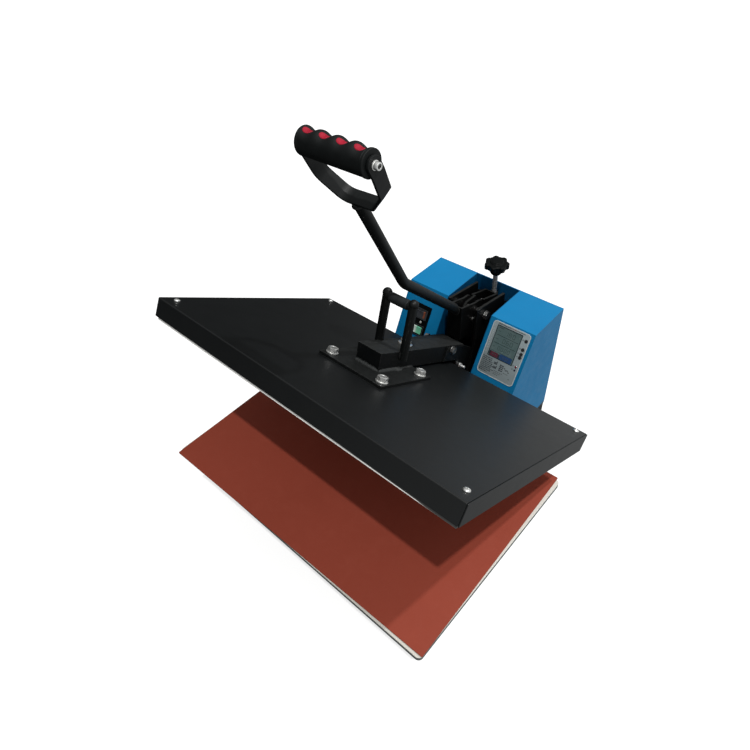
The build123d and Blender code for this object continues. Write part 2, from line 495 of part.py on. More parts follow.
# finger grooves on the upper rear side, with a red insert in the bottom of each
GROOVES = [-38.3, -10.1, 18.3, 46.6]
GR_DIR, GR_DIST, GR_R = math.radians(60.0), 30.6, 16.0
grip = cyl_x(YW, S_AX, 17.0, g0, g1) + cyl_x(YW + 1.25, S_AX + 2.1, 16.9, g0 + 2.5, g1 - 3)
inserts = []
for gx in GROOVES:
    gc = (YW + GR_DIST * math.cos(GR_DIR), S_AX + GR_DIST * math.sin(GR_DIR))
    grip -= Pos(gx, gc[0], gc[1]) * Sphere(GR_R)
    s = Pos(gx - 2.0, YW, S_AX) * Rot(-18, 0, 0) * Pos(0, 0, 12.4) * extrude(Ellipse(7.2, 4.9), amount=5.6)
    inserts.append(s - Pos(gx, gc[0], gc[1]) * Sphere(GR_R - 0.6))
grip += cyl_x(YW, S_AX, 17.8, g0 + 2, g0 + 6) + cyl_x(YW, S_AX, 17.5, g1 - 4, g1)
grip -= cyl_x(YW, S_AX, 8.0, g0 - 1, g1 + 1)
for s in inserts:
    grip -= s
node("grip_sleeve", YK * grip)
node("grip_inserts", [YK * s for s in inserts])
node("grip_tube", YK * (cyl_x(YW, S_AX, 8.0, g0 - 0.2, g1 + 0.2) - cyl_x(YW, S_AX, 3.1, g0 - 1, g1 + 1)))
gb = cyl_x(YW, S_AX, 3.0, XL - 8, XR + 2) + cyl_x(YW, S_AX, 5.0, XR + 3.2, XR + 9.2) + cyl_x(YW, S_AX, 3.0, XR, XR + 5)
gb -= Pos(XR + 5.6, YW, S_AX) * Rot(0, 90, 0) * extrude(RegularPolygon(2.5, 6, major_radius=False), amount=6)
node("grip_bolt", YK * gb,
     YK * (cyl_x(YW, S_AX, 6.0, XR + 2, XR + 3.2) - cyl_x(YW, S_AX, 3.0, XR, XR + 5)),
     YK * (cyl_x(YW, S_AX, 6.0, XL - 3.2, XL - 2) - cyl_x(YW, S_AX, 3.0, XL - 5, XL)),
     YK * (hex_x(YW, S_AX, 10, XL - 8.2, XL - 3.2) - cyl_x(YW, S_AX, 3.0, XL - 12, XL)))
node("upper_toggle_pin", cyl_x(P[0], P[1], PIN_R, -LINK_OUT, LINK_OUT))

# ======================= toggle links =======================
link = capsule_x(P, Q, 9.0, 14.5, LINK_IN, LINK_OUT) - cyl_x(P[0], P[1], PIN_R + 0.05, 10, 30) - cyl_x(Q[0], Q[1], PIN_R + 5.2, 10, 30)
node("toggle_links", both(link))

# ======================= pressure bracket =======================
# inner ears round the pivot bolt, stepping out to the fork's width behind it
ears = prism_x([(321, 158), (321, 172), (330, 178), (360, 176), (360, 152), (336, 152)], BRK_IN, BRK_OUT)
ears -= cyl_x(B[0], B[1], PIVOT_R, 0, 40)
wide = prism_x([(356, 178.3), (408, 161.8), (408, 138), (364, 138), (356, 150)], FORK_IN, FORK_OUT)
wide += prism_x([(356, 176), (360, 176), (360, 152), (356, 152)], BRK_IN, FORK_OUT)
half = ears + wide
brk = half + mirror(half, about=Plane.YZ) + prism_x([(404, 163.1), (404, 138), (408, 138), (408, 161.8)], -FORK_OUT, FORK_OUT)
brk += cyl_z(0, SCREW_Y, 8.0, 138, 156) + box(-5.5, 5.5, 406, 414, 138, 156)
brk -= cyl_z(0, SCREW_Y, SCREW_R + 0.06, 130, 170)
node("pressure_bracket", brk)
pb = cyl_x(B[0], B[1], PIVOT_R, -(CHEEK_OUT + 8), CHEEK_OUT + 1.5) + cyl_x(B[0], B[1], 9.0, CHEEK_OUT + 0.4, CHEEK_OUT + 1.6) + hex_x(B[0], B[1], 15, CHEEK_OUT + 1.6, CHEEK_OUT + 7)
node("pivot_bolt", pb, cyl_x(B[0], B[1], 9.0, -CHEEK_OUT - 1.6, -CHEEK_OUT - 0.4) - cyl_x(B[0], B[1], PIVOT_R, -50, 0),
     hex_x(B[0], B[1], 17, -CHEEK_OUT - 7.6, -CHEEK_OUT - 1.6) - cyl_x(B[0], B[1], PIVOT_R, -50, 0),
     both(cyl_x(B[0], B[1], 7.5, FORK_OUT + 0.35, CHEEK_IN - 0.35) - cyl_x(B[0], B[1], PIVOT_R, 0, 50)))

# ======================= pressure screw and knob =======================
collars = cyl_z(0, SCREW_Y, 8.0, 108.3, 112) + cyl_z(0, SCREW_Y, 8.0, 79.8, 83.7)
node("pressure_screw", cyl_z(0, SCREW_Y, SCREW_R, 76, 214) + collars)
KZ = 190.5
knob = Pos(0, SCREW_Y, KZ + 10.5) * Cone(10.0, 17.0, 15.5, align=(Align.CENTER, Align.CENTER, Align.MIN))
star = cyl_z(0, SCREW_Y, 20.9, KZ + 25, KZ + 34.6)
star += Pos(0, SCREW_Y, KZ + 34.6) * Cone(20.9, 19.5, 1.4, align=(Align.CENTER, Align.CENTER, Align.MIN))
for k in range(7):
    a = 2 * math.pi * (k + 0.5) / 7
    lx, ly = 18.0 * math.cos(a), SCREW_Y + 18.0 * math.sin(a)
    star += cyl_z(lx, ly, 6.6, KZ + 25, KZ + 34.6)
    star += Pos(lx, ly, KZ + 34.6) * Cone(6.6, 5.2, 1.4, align=(Align.CENTER, Align.CENTER, Align.MIN))
knob += star
knob += Pos(0, SCREW_Y, KZ + 36) * Cone(13.5, 12.0, 1.6, align=(Align.CENTER, Align.CENTER, Align.MIN))
knob -= cyl_z(0, SCREW_Y, SCREW_R, KZ - 1, 214)
node("pressure_knob", knob)

for name, shape in NODES.items():
    export_step(shape, "parts/%s.step" % name)
print(len(NODES), "nodes")
boxes = [sh.bounding_box() for sh in NODES.values()]
print("box y", round(min(b.min.Y for b in boxes), 3), round(max(b.max.Y for b in boxes), 3),
      "x", round(min(b.min.X for b in boxes), 3), round(max(b.max.X for b in boxes), 3),
      "z", round(min(b.min.Z for b in boxes), 3), round(max(b.max.Z for b in boxes), 3))
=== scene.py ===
import bpy, bmesh, math, random
from mathutils import Vector, Matrix


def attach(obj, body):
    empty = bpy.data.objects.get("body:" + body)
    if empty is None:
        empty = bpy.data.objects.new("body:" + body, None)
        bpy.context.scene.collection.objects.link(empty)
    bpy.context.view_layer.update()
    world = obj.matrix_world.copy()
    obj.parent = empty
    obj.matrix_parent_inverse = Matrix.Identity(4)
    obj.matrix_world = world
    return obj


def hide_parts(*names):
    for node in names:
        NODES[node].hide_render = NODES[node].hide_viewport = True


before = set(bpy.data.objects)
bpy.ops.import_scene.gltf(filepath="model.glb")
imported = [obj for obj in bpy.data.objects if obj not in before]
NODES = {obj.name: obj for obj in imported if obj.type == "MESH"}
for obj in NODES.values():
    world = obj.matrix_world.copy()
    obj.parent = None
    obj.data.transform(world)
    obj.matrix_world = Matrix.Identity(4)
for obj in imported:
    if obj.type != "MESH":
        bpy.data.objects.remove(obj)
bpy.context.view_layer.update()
scene = bpy.context.scene
MM = 0.001

# ------------------------------------------------------------------ frames
SY, SZ = -117.295, 150.0


def W(x, y, z):
    """working millimetres -> row metres"""
    return Vector((x * MM, (y + SY) * MM, (z + SZ) * MM))


def frame_matrix(x, y, z, rot_x_deg):
    return Matrix.Translation(W(x, y, z)) @ Matrix.Rotation(math.radians(rot_x_deg), 4, "X") @ Matrix.Scale(MM, 4)


UP = frame_matrix(0, -140.4, 293.5, -31.2)                     # platen: x, v back, t up
FACE = frame_matrix(0, 330.0, 173.0, math.degrees(math.atan2(1, 0.532)))   # housing slope: x, -down, out
YK = frame_matrix(0, 136.2, 336.3, 25.93)                      # lever top: x, across, along
ROW = Matrix.Translation(W(0, 0, 0)) @ Matrix.Scale(MM, 4)     # working millimetres

# ------------------------------------------------------------------ camera
cam_data = bpy.data.cameras.new("view")
cam = bpy.data.objects.new("view", cam_data)
scene.collection.objects.link(cam)
R0 = Vector((0.7426344, 0.6672511, -0.0571847))
R1 = Vector((0.4380575, -0.5485805, -0.7121553))
R2 = Vector((-0.5065568, 0.5038208, -0.6996891))
rot = Matrix((R0, -R1, -R2)).transposed()
cam.matrix_world = Matrix.Translation(Vector((0.494565, (-436.734 + SY) * MM, 1.027291))) @ rot.to_4x4()
cam_data.sensor_width = 36.0
cam_data.sensor_fit = "HORIZONTAL"
cam_data.lens = 36.0 * 579.4547 / 750.0
cam_data.clip_start = 0.02
cam_data.clip_end = 200.0
scene.camera = cam
scene.view_settings.view_transform = "Standard"
scene.view_settings.look = "None"
scene.view_settings.exposure = 0.0
scene.view_settings.gamma = 1.0


# ------------------------------------------------------------------ materials
class Mat:
    """A procedural material being put together."""

    def __init__(self, name):
        self.m = bpy.data.materials.new(name)
        self.m.use_nodes = True
        self.t = self.m.node_tree
        self.t.nodes.clear()
        self.out = self.n("ShaderNodeOutputMaterial")
        self.b = self.n("ShaderNodeBsdfPrincipled")
        self.l(self.b.outputs["BSDF"], self.out.inputs["Surface"])
        self.co = self.n("ShaderNodeTexCoord").outputs["Object"]

    def n(self, kind):
        return self.t.nodes.new(kind)

    def l(self, a, b):
        self.t.links.new(a, b)

    def set(self, **kw):
        for k, v in kw.items():
            self.b.inputs[k.replace("_", " ")].default_value = v

    def noise(self, scale, detail=2.0, rough=0.5, dist=0.0, stretch=None):
        node = self.n("ShaderNodeTexNoise")
        node.inputs["Scale"].default_value = scale
        node.inputs["Detail"].default_value = detail
        node.inputs["Roughness"].default_value = rough
        node.inputs["Distortion"].default_value = dist
        c = self.co
        if stretch:
            mp = self.n("ShaderNodeMapping")
            mp.inputs["Scale"].default_value = stretch
            self.l(c, mp.inputs["Vector"])
            c = mp.outputs["Vector"]
        self.l(c, node.inputs["Vector"])
        return node.outputs["Fac"]

    def voronoi(self, scale, out="Distance"):
        node = self.n("ShaderNodeTexVoronoi")
        node.inputs["Scale"].default_value = scale
        self.l(self.co, node.inputs["Vector"])
        return node.outputs[out]

    def remap(self, v, a, b, c, d):
        node = self.n("ShaderNodeMapRange")
        node.inputs["From Min"].default_value = a
        node.inputs["From Max"].default_value = b
        node.inputs["To Min"].default_value = c
        node.inputs["To Max"].default_value = d
        self.l(v, node.inputs["Value"])
        return node.outputs["Result"]

    def math(self, op, a, b=None, clamp=False):
        node = self.n("ShaderNodeMath")
        node.operation = op
        node.use_clamp = clamp
        for i, v in enumerate((a, b)):
            if v is None:
                continue
            if isinstance(v, (int, float)):
                node.inputs[i].default_value = v
            else:
                self.l(v, node.inputs[i])
        return node.outputs[0]

    def mix(self, fac, a, b):
        node = self.n("ShaderNodeMix")
        node.data_type = "RGBA"
        for sock, v in ((node.inputs[0], fac), (node.inputs[6], a), (node.inputs[7], b)):
            if isinstance(v, (int, float)):
                sock.default_value = v
            elif isinstance(v, tuple):
                sock.default_value = v if len(v) == 4 else (*v, 1.0)
            else:
                self.l(v, sock)
        return node.outputs[2]

    def bump(self, height, strength, distance, normal=None):
        node = self.n("ShaderNodeBump")
        node.inputs["Strength"].default_value = strength
        node.inputs["Distance"].default_value = distance
        self.l(height, node.inputs["Height"])
        if normal is not None:
            self.l(normal, node.inputs["Normal"])
        return node.outputs["Normal"]

    def axis(self, i):
        node = self.n("ShaderNodeSeparateXYZ")
        self.l(self.co, node.inputs["Vector"])
        return node.outputs[i]

    def upward(self, a, b):
        """0..1 as the surface turns to face up."""
        geo = self.n("ShaderNodeNewGeometry")
        node = self.n("ShaderNodeSeparateXYZ")
        self.l(geo.outputs["Normal"], node.inputs["Vector"])
        return self.remap(node.outputs[2], a, b, 0.0, 1.0)

    def edges(self, radius):
        """1 on sharp outer edges, 0 on flats."""
        bev = self.n("ShaderNodeBevel")
        bev.samples = 4
        bev.inputs["Radius"].default_value = radius
        geo = self.n("ShaderNodeNewGeometry")
        dot = self.n("ShaderNodeVectorMath")
        dot.operation = "DOT_PRODUCT"
        self.l(bev.outputs["Normal"], dot.inputs[0])
        self.l(geo.outputs["Normal"], dot.inputs[1])
        return self.remap(dot.outputs["Value"], 0.995, 0.80, 0.0, 1.0)

    def color(self, c):
        self.l(c, self.b.inputs["Base Color"])

    def rough(self, r):
        self.l(r, self.b.inputs["Roughness"])

    def normal(self, n):
        self.l(n, self.b.inputs["Normal"])


def powder(name, dark, light, rough=0.42, peel=0.10, edge_wear_highlight=0.35, edge_wear_highlight_col=None, spec=0.5, dust=0.05, peel_scale=620.0, coat=0.0, cut=0.0, well_shade=False, uneven=1.0):
    """Powder coat: orange peel, small tone changes and dust; rubbed edges lightened, partly wear and partly a painted
    highlight; optional painted shade round the lever recess and painted light, partly scuffs, on upward faces.
    """
    m = Mat(name)
    base = m.mix(m.remap(m.noise(7.0, 3.0, 0.55), 0.35, 0.65, 0.0, 1.0), dark, light)
    base = m.mix(m.remap(m.noise(2600.0, 1.0, 0.5), 0.68, 0.80, 0.0, dust), base, (0.32, 0.32, 0.31))
    base = m.mix(m.remap(m.noise(34.0, 6.0, 0.66, 0.4), 0.55, 0.82, 0.0, dust * 0.7), base, (0.16, 0.16, 0.155))
    if well_shade:
        # painted shade: the walls round the recess the lever sits in are darkened towards deep navy, standing for the
        # shade inside it
        well_shade_mask = m.remap(m.math("ABSOLUTE", m.axis(0)), 0.0516, 0.0512, 0.0, 1.0) if well_shade == "x" else m.remap(m.axis(1), 0.31215, 0.31190, 0.0, 1.0)
        inner = m.math("MULTIPLY", well_shade_mask, m.remap(m.noise(30.0, 3.0, 0.6), 0.2, 0.6, 0.85, 1.0))
        base = m.mix(m.math("MULTIPLY", inner, 0.72, True), base, (0.0010, 0.026, 0.085))
    if cut > 0:
        # partly scuffed bare steel, partly painted light: faces turning up are lightened towards grey, mottled by noise
        lit = m.math("MULTIPLY", m.upward(0.80, 0.97), m.remap(m.noise(120.0, 4.0, 0.7), 0.30, 0.60, 0.45, 1.0))
        base = m.mix(m.math("MULTIPLY", lit, cut), base, (0.27, 0.28, 0.27))
    if edge_wear_highlight > 0:
        # edges lightened partly as rubbed wear and partly as a painted edge highlight
        rubbed_edge_highlight = m.math("MULTIPLY", m.edges(0.0010), m.remap(m.noise(160.0, 4.0, 0.7), 0.44, 0.64, 0.10, 1.0))
        base = m.mix(m.math("MULTIPLY", rubbed_edge_highlight, edge_wear_highlight), base, edge_wear_highlight_col or tuple(min(1.0, c * 3.0 + 0.025) for c in light))
    m.color(base)
    m.rough(m.remap(m.noise(50.0, 4.0, 0.6), 0.3, 0.7, rough - 0.05 * uneven, rough + 0.07 * uneven))
    n1 = m.bump(m.noise(peel_scale, 2.0, 0.5), peel, 0.00035)
    m.normal(m.bump(m.noise(60.0, 2.0, 0.5), 0.05 * uneven, 0.0010, n1))
    m.set(Specular_IOR_Level=spec)
    if coat:
        m.set(Coat_Weight=coat, Coat_Roughness=0.14)
    return m.m


def metal(name, col, rough=0.28, metallic=1.0, brush=None, brush_strength=0.12, stain=0.25, stain_col=(0.35, 0.31, 0.24), grain=900.0):
    m = Mat(name)
    m.set(Metallic=metallic)
    base = m.mix(m.remap(m.noise(70.0, 4.0, 0.6), 0.35, 0.68, 0.0, 1.0), tuple(c * 0.86 for c in col), col)
    base = m.mix(m.remap(m.noise(26.0, 6.0, 0.7, 0.6), 0.56, 0.78, 0.0, stain), base, stain_col)
    m.color(base)
    if brush:
        br = m.noise(1.0, 3.0, 0.6, 0.0, stretch=brush)
        m.rough(m.remap(br, 0.3, 0.7, rough - 0.08, rough + 0.12))
        m.normal(m.bump(br, brush_strength, 0.0002))
    else:
        m.rough(m.remap(m.noise(grain * 0.2, 4.0, 0.65), 0.3, 0.7, rough - 0.07, rough + 0.1))
        m.normal(m.bump(m.noise(grain, 3.0, 0.6), brush_strength, 0.00015))
    return m.m


def moulded(name, col, rough=0.5, grain=1400.0, depth=0.12, tone=0.15, spec=0.5, dust=0.04, coat=0.0):
    m = Mat(name)
    base = m.mix(m.remap(m.noise(45.0, 4.0, 0.6), 0.35, 0.65, 0.0, 1.0), tuple(c * (1 - tone) for c in col), tuple(min(1.0, c * (1 + tone)) for c in col))
    base = m.mix(m.remap(m.noise(2200.0, 1.0, 0.5), 0.68, 0.8, 0.0, dust), base, (0.4, 0.4, 0.38))
    m.color(base)
    m.rough(m.remap(m.noise(90.0, 3.0, 0.6), 0.3, 0.7, rough - 0.05, rough + 0.06))
    m.normal(m.bump(m.voronoi(grain), depth, 0.00015))
    m.set(Specular_IOR_Level=spec)
    if coat:
        m.set(Coat_Weight=coat, Coat_Roughness=0.08)
    return m.m


M = {}
M["black"] = powder("powder_black_mat", (0.0016, 0.0021, 0.0022), (0.0026, 0.0033, 0.0034), rough=0.42, peel=0.09, edge_wear_highlight=0.50, dust=0.022, spec=0.38)
M["arm"] = powder("arm_black_mat", (0.0012, 0.0017, 0.0019), (0.0020, 0.0026, 0.0029), rough=0.55, peel=0.10, edge_wear_highlight=0.55, edge_wear_highlight_col=(0.10, 0.10, 0.10), dust=0.02, spec=0.16, cut=0.19)
M["mount"] = powder("mount_black_mat", (0.0010, 0.0014, 0.0015), (0.0018, 0.0024, 0.0025), rough=0.50, peel=0.10, edge_wear_highlight=0.60, edge_wear_highlight_col=(0.09, 0.09, 0.09), dust=0.015, spec=0.18)
M["mount_top"] = powder("mount_plate_mat", (0.0010, 0.0014, 0.0015), (0.0018, 0.0024, 0.0025), rough=0.50, peel=0.10, edge_wear_highlight=0.60, edge_wear_highlight_col=(0.09, 0.09, 0.09), dust=0.020, spec=0.18, cut=0.09)
M["side"] = powder("side_black_mat", (0.0016, 0.0021, 0.0022), (0.0026, 0.0033, 0.0034), rough=0.50, peel=0.09, edge_wear_highlight=0.30, dust=0.02, spec=0.25)
M["cover"] = powder("cover_black_mat", (0.0017, 0.0023, 0.0026), (0.0020, 0.0027, 0.0030), rough=0.40, peel=0.05, edge_wear_highlight=0.04, dust=0.003, uneven=0.28)
M["plate_black"] = powder("cut_plate_mat", (0.0008, 0.0009, 0.0009), (0.0014, 0.0015, 0.0016), rough=0.50, peel=0.08, edge_wear_highlight=0.42, edge_wear_highlight_col=(0.060, 0.066, 0.062), dust=0.010, cut=0.045, spec=0.12)
M["bar"] = powder("bar_black_mat", (0.0012, 0.0018, 0.0018), (0.0022, 0.0030, 0.0030), rough=0.46, peel=0.07, edge_wear_highlight=0.30, dust=0.012, spec=0.24)
M["yoke"] = powder("yoke_black_mat", (0.0020, 0.0028, 0.0030), (0.0034, 0.0044, 0.0046), rough=0.54, peel=0.07, edge_wear_highlight=0.30, dust=0.02, spec=0.26)
M["blue"] = powder("blue_paint_mat", (0.0012, 0.143, 0.325), (0.0018, 0.158, 0.352), rough=0.42, peel=0.08, edge_wear_highlight=0.30, edge_wear_highlight_col=(0.03, 0.25, 0.47), dust=0.008, spec=0.24, well_shade="x")
M["blue_rear"] = powder("blue_rear_mat", (0.0012, 0.143, 0.325), (0.0018, 0.158, 0.352), rough=0.42, peel=0.08, edge_wear_highlight=0.0, dust=0.008, spec=0.24, well_shade="y")
M["zinc"] = metal("zinc_mat", (0.88, 0.88, 0.86), rough=0.26, metallic=0.86, stain=0.14)
M["dark_steel"] = metal("dark_steel_mat", (0.24, 0.24, 0.235), rough=0.34, stain=0.3, stain_col=(0.10, 0.09, 0.08))
M["shaft_steel"] = metal("shaft_steel_mat", (0.36, 0.36, 0.355), rough=0.36, stain=0.3, stain_col=(0.12, 0.11, 0.10))
M["steel"] = metal("bare_steel_mat", (0.55, 0.55, 0.54), rough=0.33, stain=0.4)
M["rod"] = metal("ground_rod_mat", (0.84, 0.85, 0.87), rough=0.20, metallic=0.72, stain=0.06, brush=(60.0, 60.0, 900.0), brush_strength=0.06)
M["nickel"] = metal("nickel_mat", (0.70, 0.67, 0.60), rough=0.2, stain=0.15)


def plate(name, top, side, rough, metallic):
    """Machined aluminium: bright brushed faces; the sides darker, partly a duller sawn finish and partly painted shade.
    """
    m = Mat(name)
    m.set(Metallic=metallic)
    geo = m.n("ShaderNodeNewGeometry")
    xyz = m.n("ShaderNodeSeparateXYZ")
    m.l(geo.outputs["Normal"], xyz.inputs["Vector"])
    flat = m.remap(m.math("ABSOLUTE", xyz.outputs[2]), 0.25, 0.60, 0.0, 1.0)
    tone = m.remap(m.noise(70.0, 4.0, 0.6), 0.35, 0.68, 0.86, 1.0)
    # faces turned sideways take the dark colour: partly a sawn finish, partly painted shade
    base = m.mix(flat, side, top)
    base = m.mix(m.remap(tone, 0.86, 1.0, 0.14, 0.0), base, (0.30, 0.29, 0.27))
    base = m.mix(m.remap(m.noise(26.0, 6.0, 0.7, 0.6), 0.56, 0.78, 0.0, 0.18), base, (0.50, 0.47, 0.42))
    m.color(base)
    br = m.noise(1.0, 3.0, 0.6, 0.0, stretch=(30.0, 900.0, 900.0))
    m.rough(m.remap(br, 0.3, 0.7, rough - 0.08, rough + 0.12))
    m.normal(m.bump(br, 0.10, 0.0002))
    return m.m


def heat_plate():
    """Bright machined platen; painted shade turns its front edge almost black above a line that drops towards the right
    corner, standing for the shade under the cover.
    """
    m = Mat("heat_plate_mat")
    m.set(Metallic=0.04)
    base = m.mix(m.remap(m.noise(70.0, 4.0, 0.6), 0.35, 0.68, 0.0, 1.0), (0.826, 0.817, 0.791), (0.96, 0.95, 0.92))
    base = m.mix(m.remap(m.noise(26.0, 6.0, 0.7, 0.6), 0.56, 0.78, 0.0, 0.12), base, (0.68, 0.62, 0.54))
    y = m.math("ADD", m.axis(1), 0.257695)
    z = m.math("ADD", m.axis(2), -0.4435)
    up = m.math("ADD", m.math("MULTIPLY", y, 0.5180), m.math("MULTIPLY", z, 0.8554))
    back = m.math("ADD", m.math("MULTIPLY", y, 0.8554), m.math("MULTIPLY", z, -0.5180))
    side = m.math("MULTIPLY", m.remap(m.axis(0), 0.3044, 0.3050, 0.0, 1.0), m.remap(back, 0.030, 0.060, 1.0, 0.0))
    edge = m.math("MAXIMUM", m.remap(back, 0.0052, 0.0062, 1.0, 0.0), side)
    line = m.remap(m.axis(0), 0.10, 0.262, -0.0022, -0.0042)
    drop = m.remap(m.axis(0), 0.245, 0.290, 0.0, 0.0024)
    over = m.math("SUBTRACT", up, m.math("SUBTRACT", line, drop))
    # painted shade: above the dropping line the front edge is mixed almost to black, for the shade under the cover's
    # lip
    painted_shade_mask = m.math("MULTIPLY", edge, m.remap(over, -0.0003, 0.0003, 0.0, 0.94))
    m.color(m.mix(painted_shade_mask, base, (0.018, 0.017, 0.016)))
    br = m.noise(1.0, 3.0, 0.6, 0.0, stretch=(30.0, 700.0, 700.0))
    m.rough(m.remap(br, 0.3, 0.7, 0.34, 0.54))
    m.normal(m.bump(br, 0.08, 0.0002))
    return m.m


def film():
    """Printed overlay: satin silver grey, with painted shade making it darker towards its lower left."""
    m = Mat("panel_film_mat")
    # painted shade: darker towards the left and lower down, lighter up and to the right, with noise
    x = m.remap(m.axis(0), 0.064, 0.134, 0.0, 0.35)
    z = m.remap(m.axis(2), 0.235, 0.320, 0.0, 0.65)
    v = m.math("ADD", m.math("ADD", x, z), m.math("MULTIPLY", m.math("SUBTRACT", m.noise(45.0, 4.0, 0.6), 0.5), 0.30), True)
    m.color(m.mix(v, (0.150, 0.182, 0.190), (0.315, 0.375, 0.395)))
    m.rough(m.remap(m.noise(90.0, 3.0, 0.6), 0.3, 0.7, 0.35, 0.46))
    m.normal(m.bump(m.voronoi(2600.0), 0.05, 0.00015))
    m.set(Specular_IOR_Level=0.5)
    return m.m


M["alu"] = plate("cast_aluminium_mat", (0.55, 0.53, 0.48), (0.15, 0.16, 0.155), 0.42, 0.12)
M["heat"] = heat_plate()
M["bronze"] = metal("bronze_mat", (0.62, 0.42, 0.20), rough=0.4, stain=0.4, stain_col=(0.2, 0.13, 0.06))
M["rubber"] = moulded("rubber_mat", (0.0085, 0.0090, 0.0095), rough=0.62, grain=900.0, depth=0.20)
M["sleeve"] = moulded("sleeve_rubber_mat", (0.0085, 0.0100, 0.0110), rough=0.56, grain=1100.0, depth=0.16, tone=0.45, dust=0.05, spec=0.25)
M["grip"] = moulded("grip_rubber_mat", (0.0016, 0.0027, 0.0028), rough=0.60, grain=1500.0, depth=0.16, dust=0.010, spec=0.24)
M["grip_red"] = moulded("grip_red_mat", (0.30, 0.006, 0.022), rough=0.40, grain=1800.0, depth=0.03, tone=0.1, dust=0.005, coat=0.05, spec=0.30)
M["plastic"] = moulded("black_plastic_mat", (0.0010, 0.0016, 0.0016), rough=0.44, grain=1500.0, depth=0.10, dust=0.004, spec=0.11)
M["plastic_dark"] = moulded("dark_grey_plastic_mat", (0.026, 0.029, 0.033), rough=0.42, grain=1500.0, depth=0.08)
M["film"] = film()
M["film_rim"] = moulded("panel_rim_mat", (0.44, 0.49, 0.50), rough=0.34, grain=2600.0, depth=0.03, tone=0.05, dust=0.0)
M["insulation"] = moulded("insulation_mat", (0.70, 0.67, 0.58), rough=0.9, grain=500.0, depth=0.6)
M["key"] = moulded("key_mat", (0.012, 0.012, 0.014), rough=0.5, grain=2200.0, depth=0.05)
M["lamp_white"] = moulded("lamp_white_mat", (0.42, 0.43, 0.40), rough=0.25, grain=2400.0, depth=0.03)
M["weld"] = powder("weld_black_mat", (0.0070, 0.0074, 0.0076), (0.0120, 0.0126, 0.0126), rough=0.50, peel=0.10, edge_wear_highlight=0.15, dust=0.04, spec=0.25)
M["weld_foot"] = powder("foot_weld_mat", (0.020, 0.0215, 0.0215), (0.032, 0.034, 0.034), rough=0.62, peel=0.12, edge_wear_highlight=0.10, dust=0.06, spec=0.12)


def silicone():
    m = Mat("silicone_mat")
    base = m.mix(m.remap(m.noise(3.0, 3.0, 0.5, 0.3), 0.32, 0.68, 0.0, 1.0), (0.197, 0.0335, 0.0172), (0.218, 0.0382, 0.0208))
    base = m.mix(m.remap(m.noise(24.0, 5.0, 0.62, 0.5), 0.50, 0.82, 0.0, 0.14), base, (0.30, 0.070, 0.044))
    base = m.mix(m.remap(m.noise(7.0, 6.0, 0.7, 1.2, stretch=(1.0, 2.6, 1.0)), 0.56, 0.80, 0.0, 0.12), base, (0.16, 0.026, 0.014))
    pores = m.voronoi(1500.0)
    base = m.mix(m.remap(pores, 0.0, 0.35, 0.22, 0.0), base, (0.11, 0.018, 0.010))
    base = m.mix(m.remap(m.noise(1500.0, 1.0, 0.5), 0.70, 0.80, 0.0, 0.22), base, (0.50, 0.27, 0.22))
    m.color(base)
    m.rough(m.remap(m.noise(30.0, 5.0, 0.65), 0.3, 0.7, 0.58, 0.76))
    n1 = m.bump(pores, 0.35, 0.00022)
    m.normal(m.bump(m.noise(16.0, 3.0, 0.5), 0.10, 0.003, n1))
    m.set(Specular_IOR_Level=0.16, Sheen_Weight=0.04, Sheen_Roughness=0.5)
    return m.m


M["silicone"] = silicone()


def lcd():
    m = Mat("lcd_mat")
    v = m.noise(45.0, 4.0, 0.55)
    m.color(m.mix(m.remap(v, 0.3, 0.7, 0.0, 1.0), (0.070, 0.114, 0.116), (0.098, 0.142, 0.142)))
    m.rough(m.remap(m.noise(200.0, 2.0, 0.5), 0.3, 0.7, 0.20, 0.28))
    m.set(Specular_IOR_Level=0.5)
    m.normal(m.bump(m.noise(1800.0, 1.0, 0.5), 0.02, 0.0001))
    return m.m


M["lcd"] = lcd()


def lens(name, col, strength, rough=0.2, highlight_side=None):
    """Translucent coloured plastic with a little of its own light."""
    m = Mat(name)
    v = m.noise(300.0, 2.0, 0.5)
    base = m.mix(m.remap(v, 0.3, 0.7, 0.0, 1.0), tuple(c * 0.8 for c in col), col)
    if highlight_side:
        # painted highlight: on one side the lens is mixed to a pale colour, and that side glows with it too
        x0, x1, highlight_col = highlight_side
        base = m.mix(m.remap(m.axis(0), x0, x1, 0.0, 1.0), highlight_col, base)
        m.l(base, m.b.inputs["Emission Color"])
        m.set(Emission_Strength=strength)
    else:
        m.set(Emission_Color=(*col, 1.0), Emission_Strength=strength)
    m.color(base)
    m.rough(m.remap(m.noise(600.0, 2.0, 0.5), 0.3, 0.7, rough - 0.04, rough + 0.06))
    m.normal(m.bump(m.noise(1200.0, 1.0, 0.5), 0.03, 0.0001))
    return m.m


M["green_lit"] = lens("rocker_green_mat", (0.11, 0.36, 0.23), 0.25, highlight_side=(-0.1010, -0.0955, (0.42, 0.50, 0.46)))
M["lamp_red"] = lens("lamp_red_mat", (0.115, 0.014, 0.028), 0.05)
M["lamp_blue"] = lens("lamp_blue_mat", (0.008, 0.011, 0.036), 0.01)


def breaker():
    m = Mat("breaker_rocker_mat")
    body = m.mix(m.remap(m.noise(400.0, 3.0, 0.6), 0.35, 0.65, 0.0, 1.0), (0.026, 0.030, 0.035), (0.045, 0.048, 0.055))
    m.color(m.mix(m.remap(m.axis(0), -0.0912, -0.0906, 0.0, 1.0), body, (0.19, 0.055, 0.028)))
    m.rough(m.remap(m.noise(300.0, 2.0, 0.5), 0.3, 0.7, 0.32, 0.46))
    m.normal(m.bump(m.voronoi(1500.0), 0.06, 0.0001))
    return m.m


M["breaker"] = breaker()


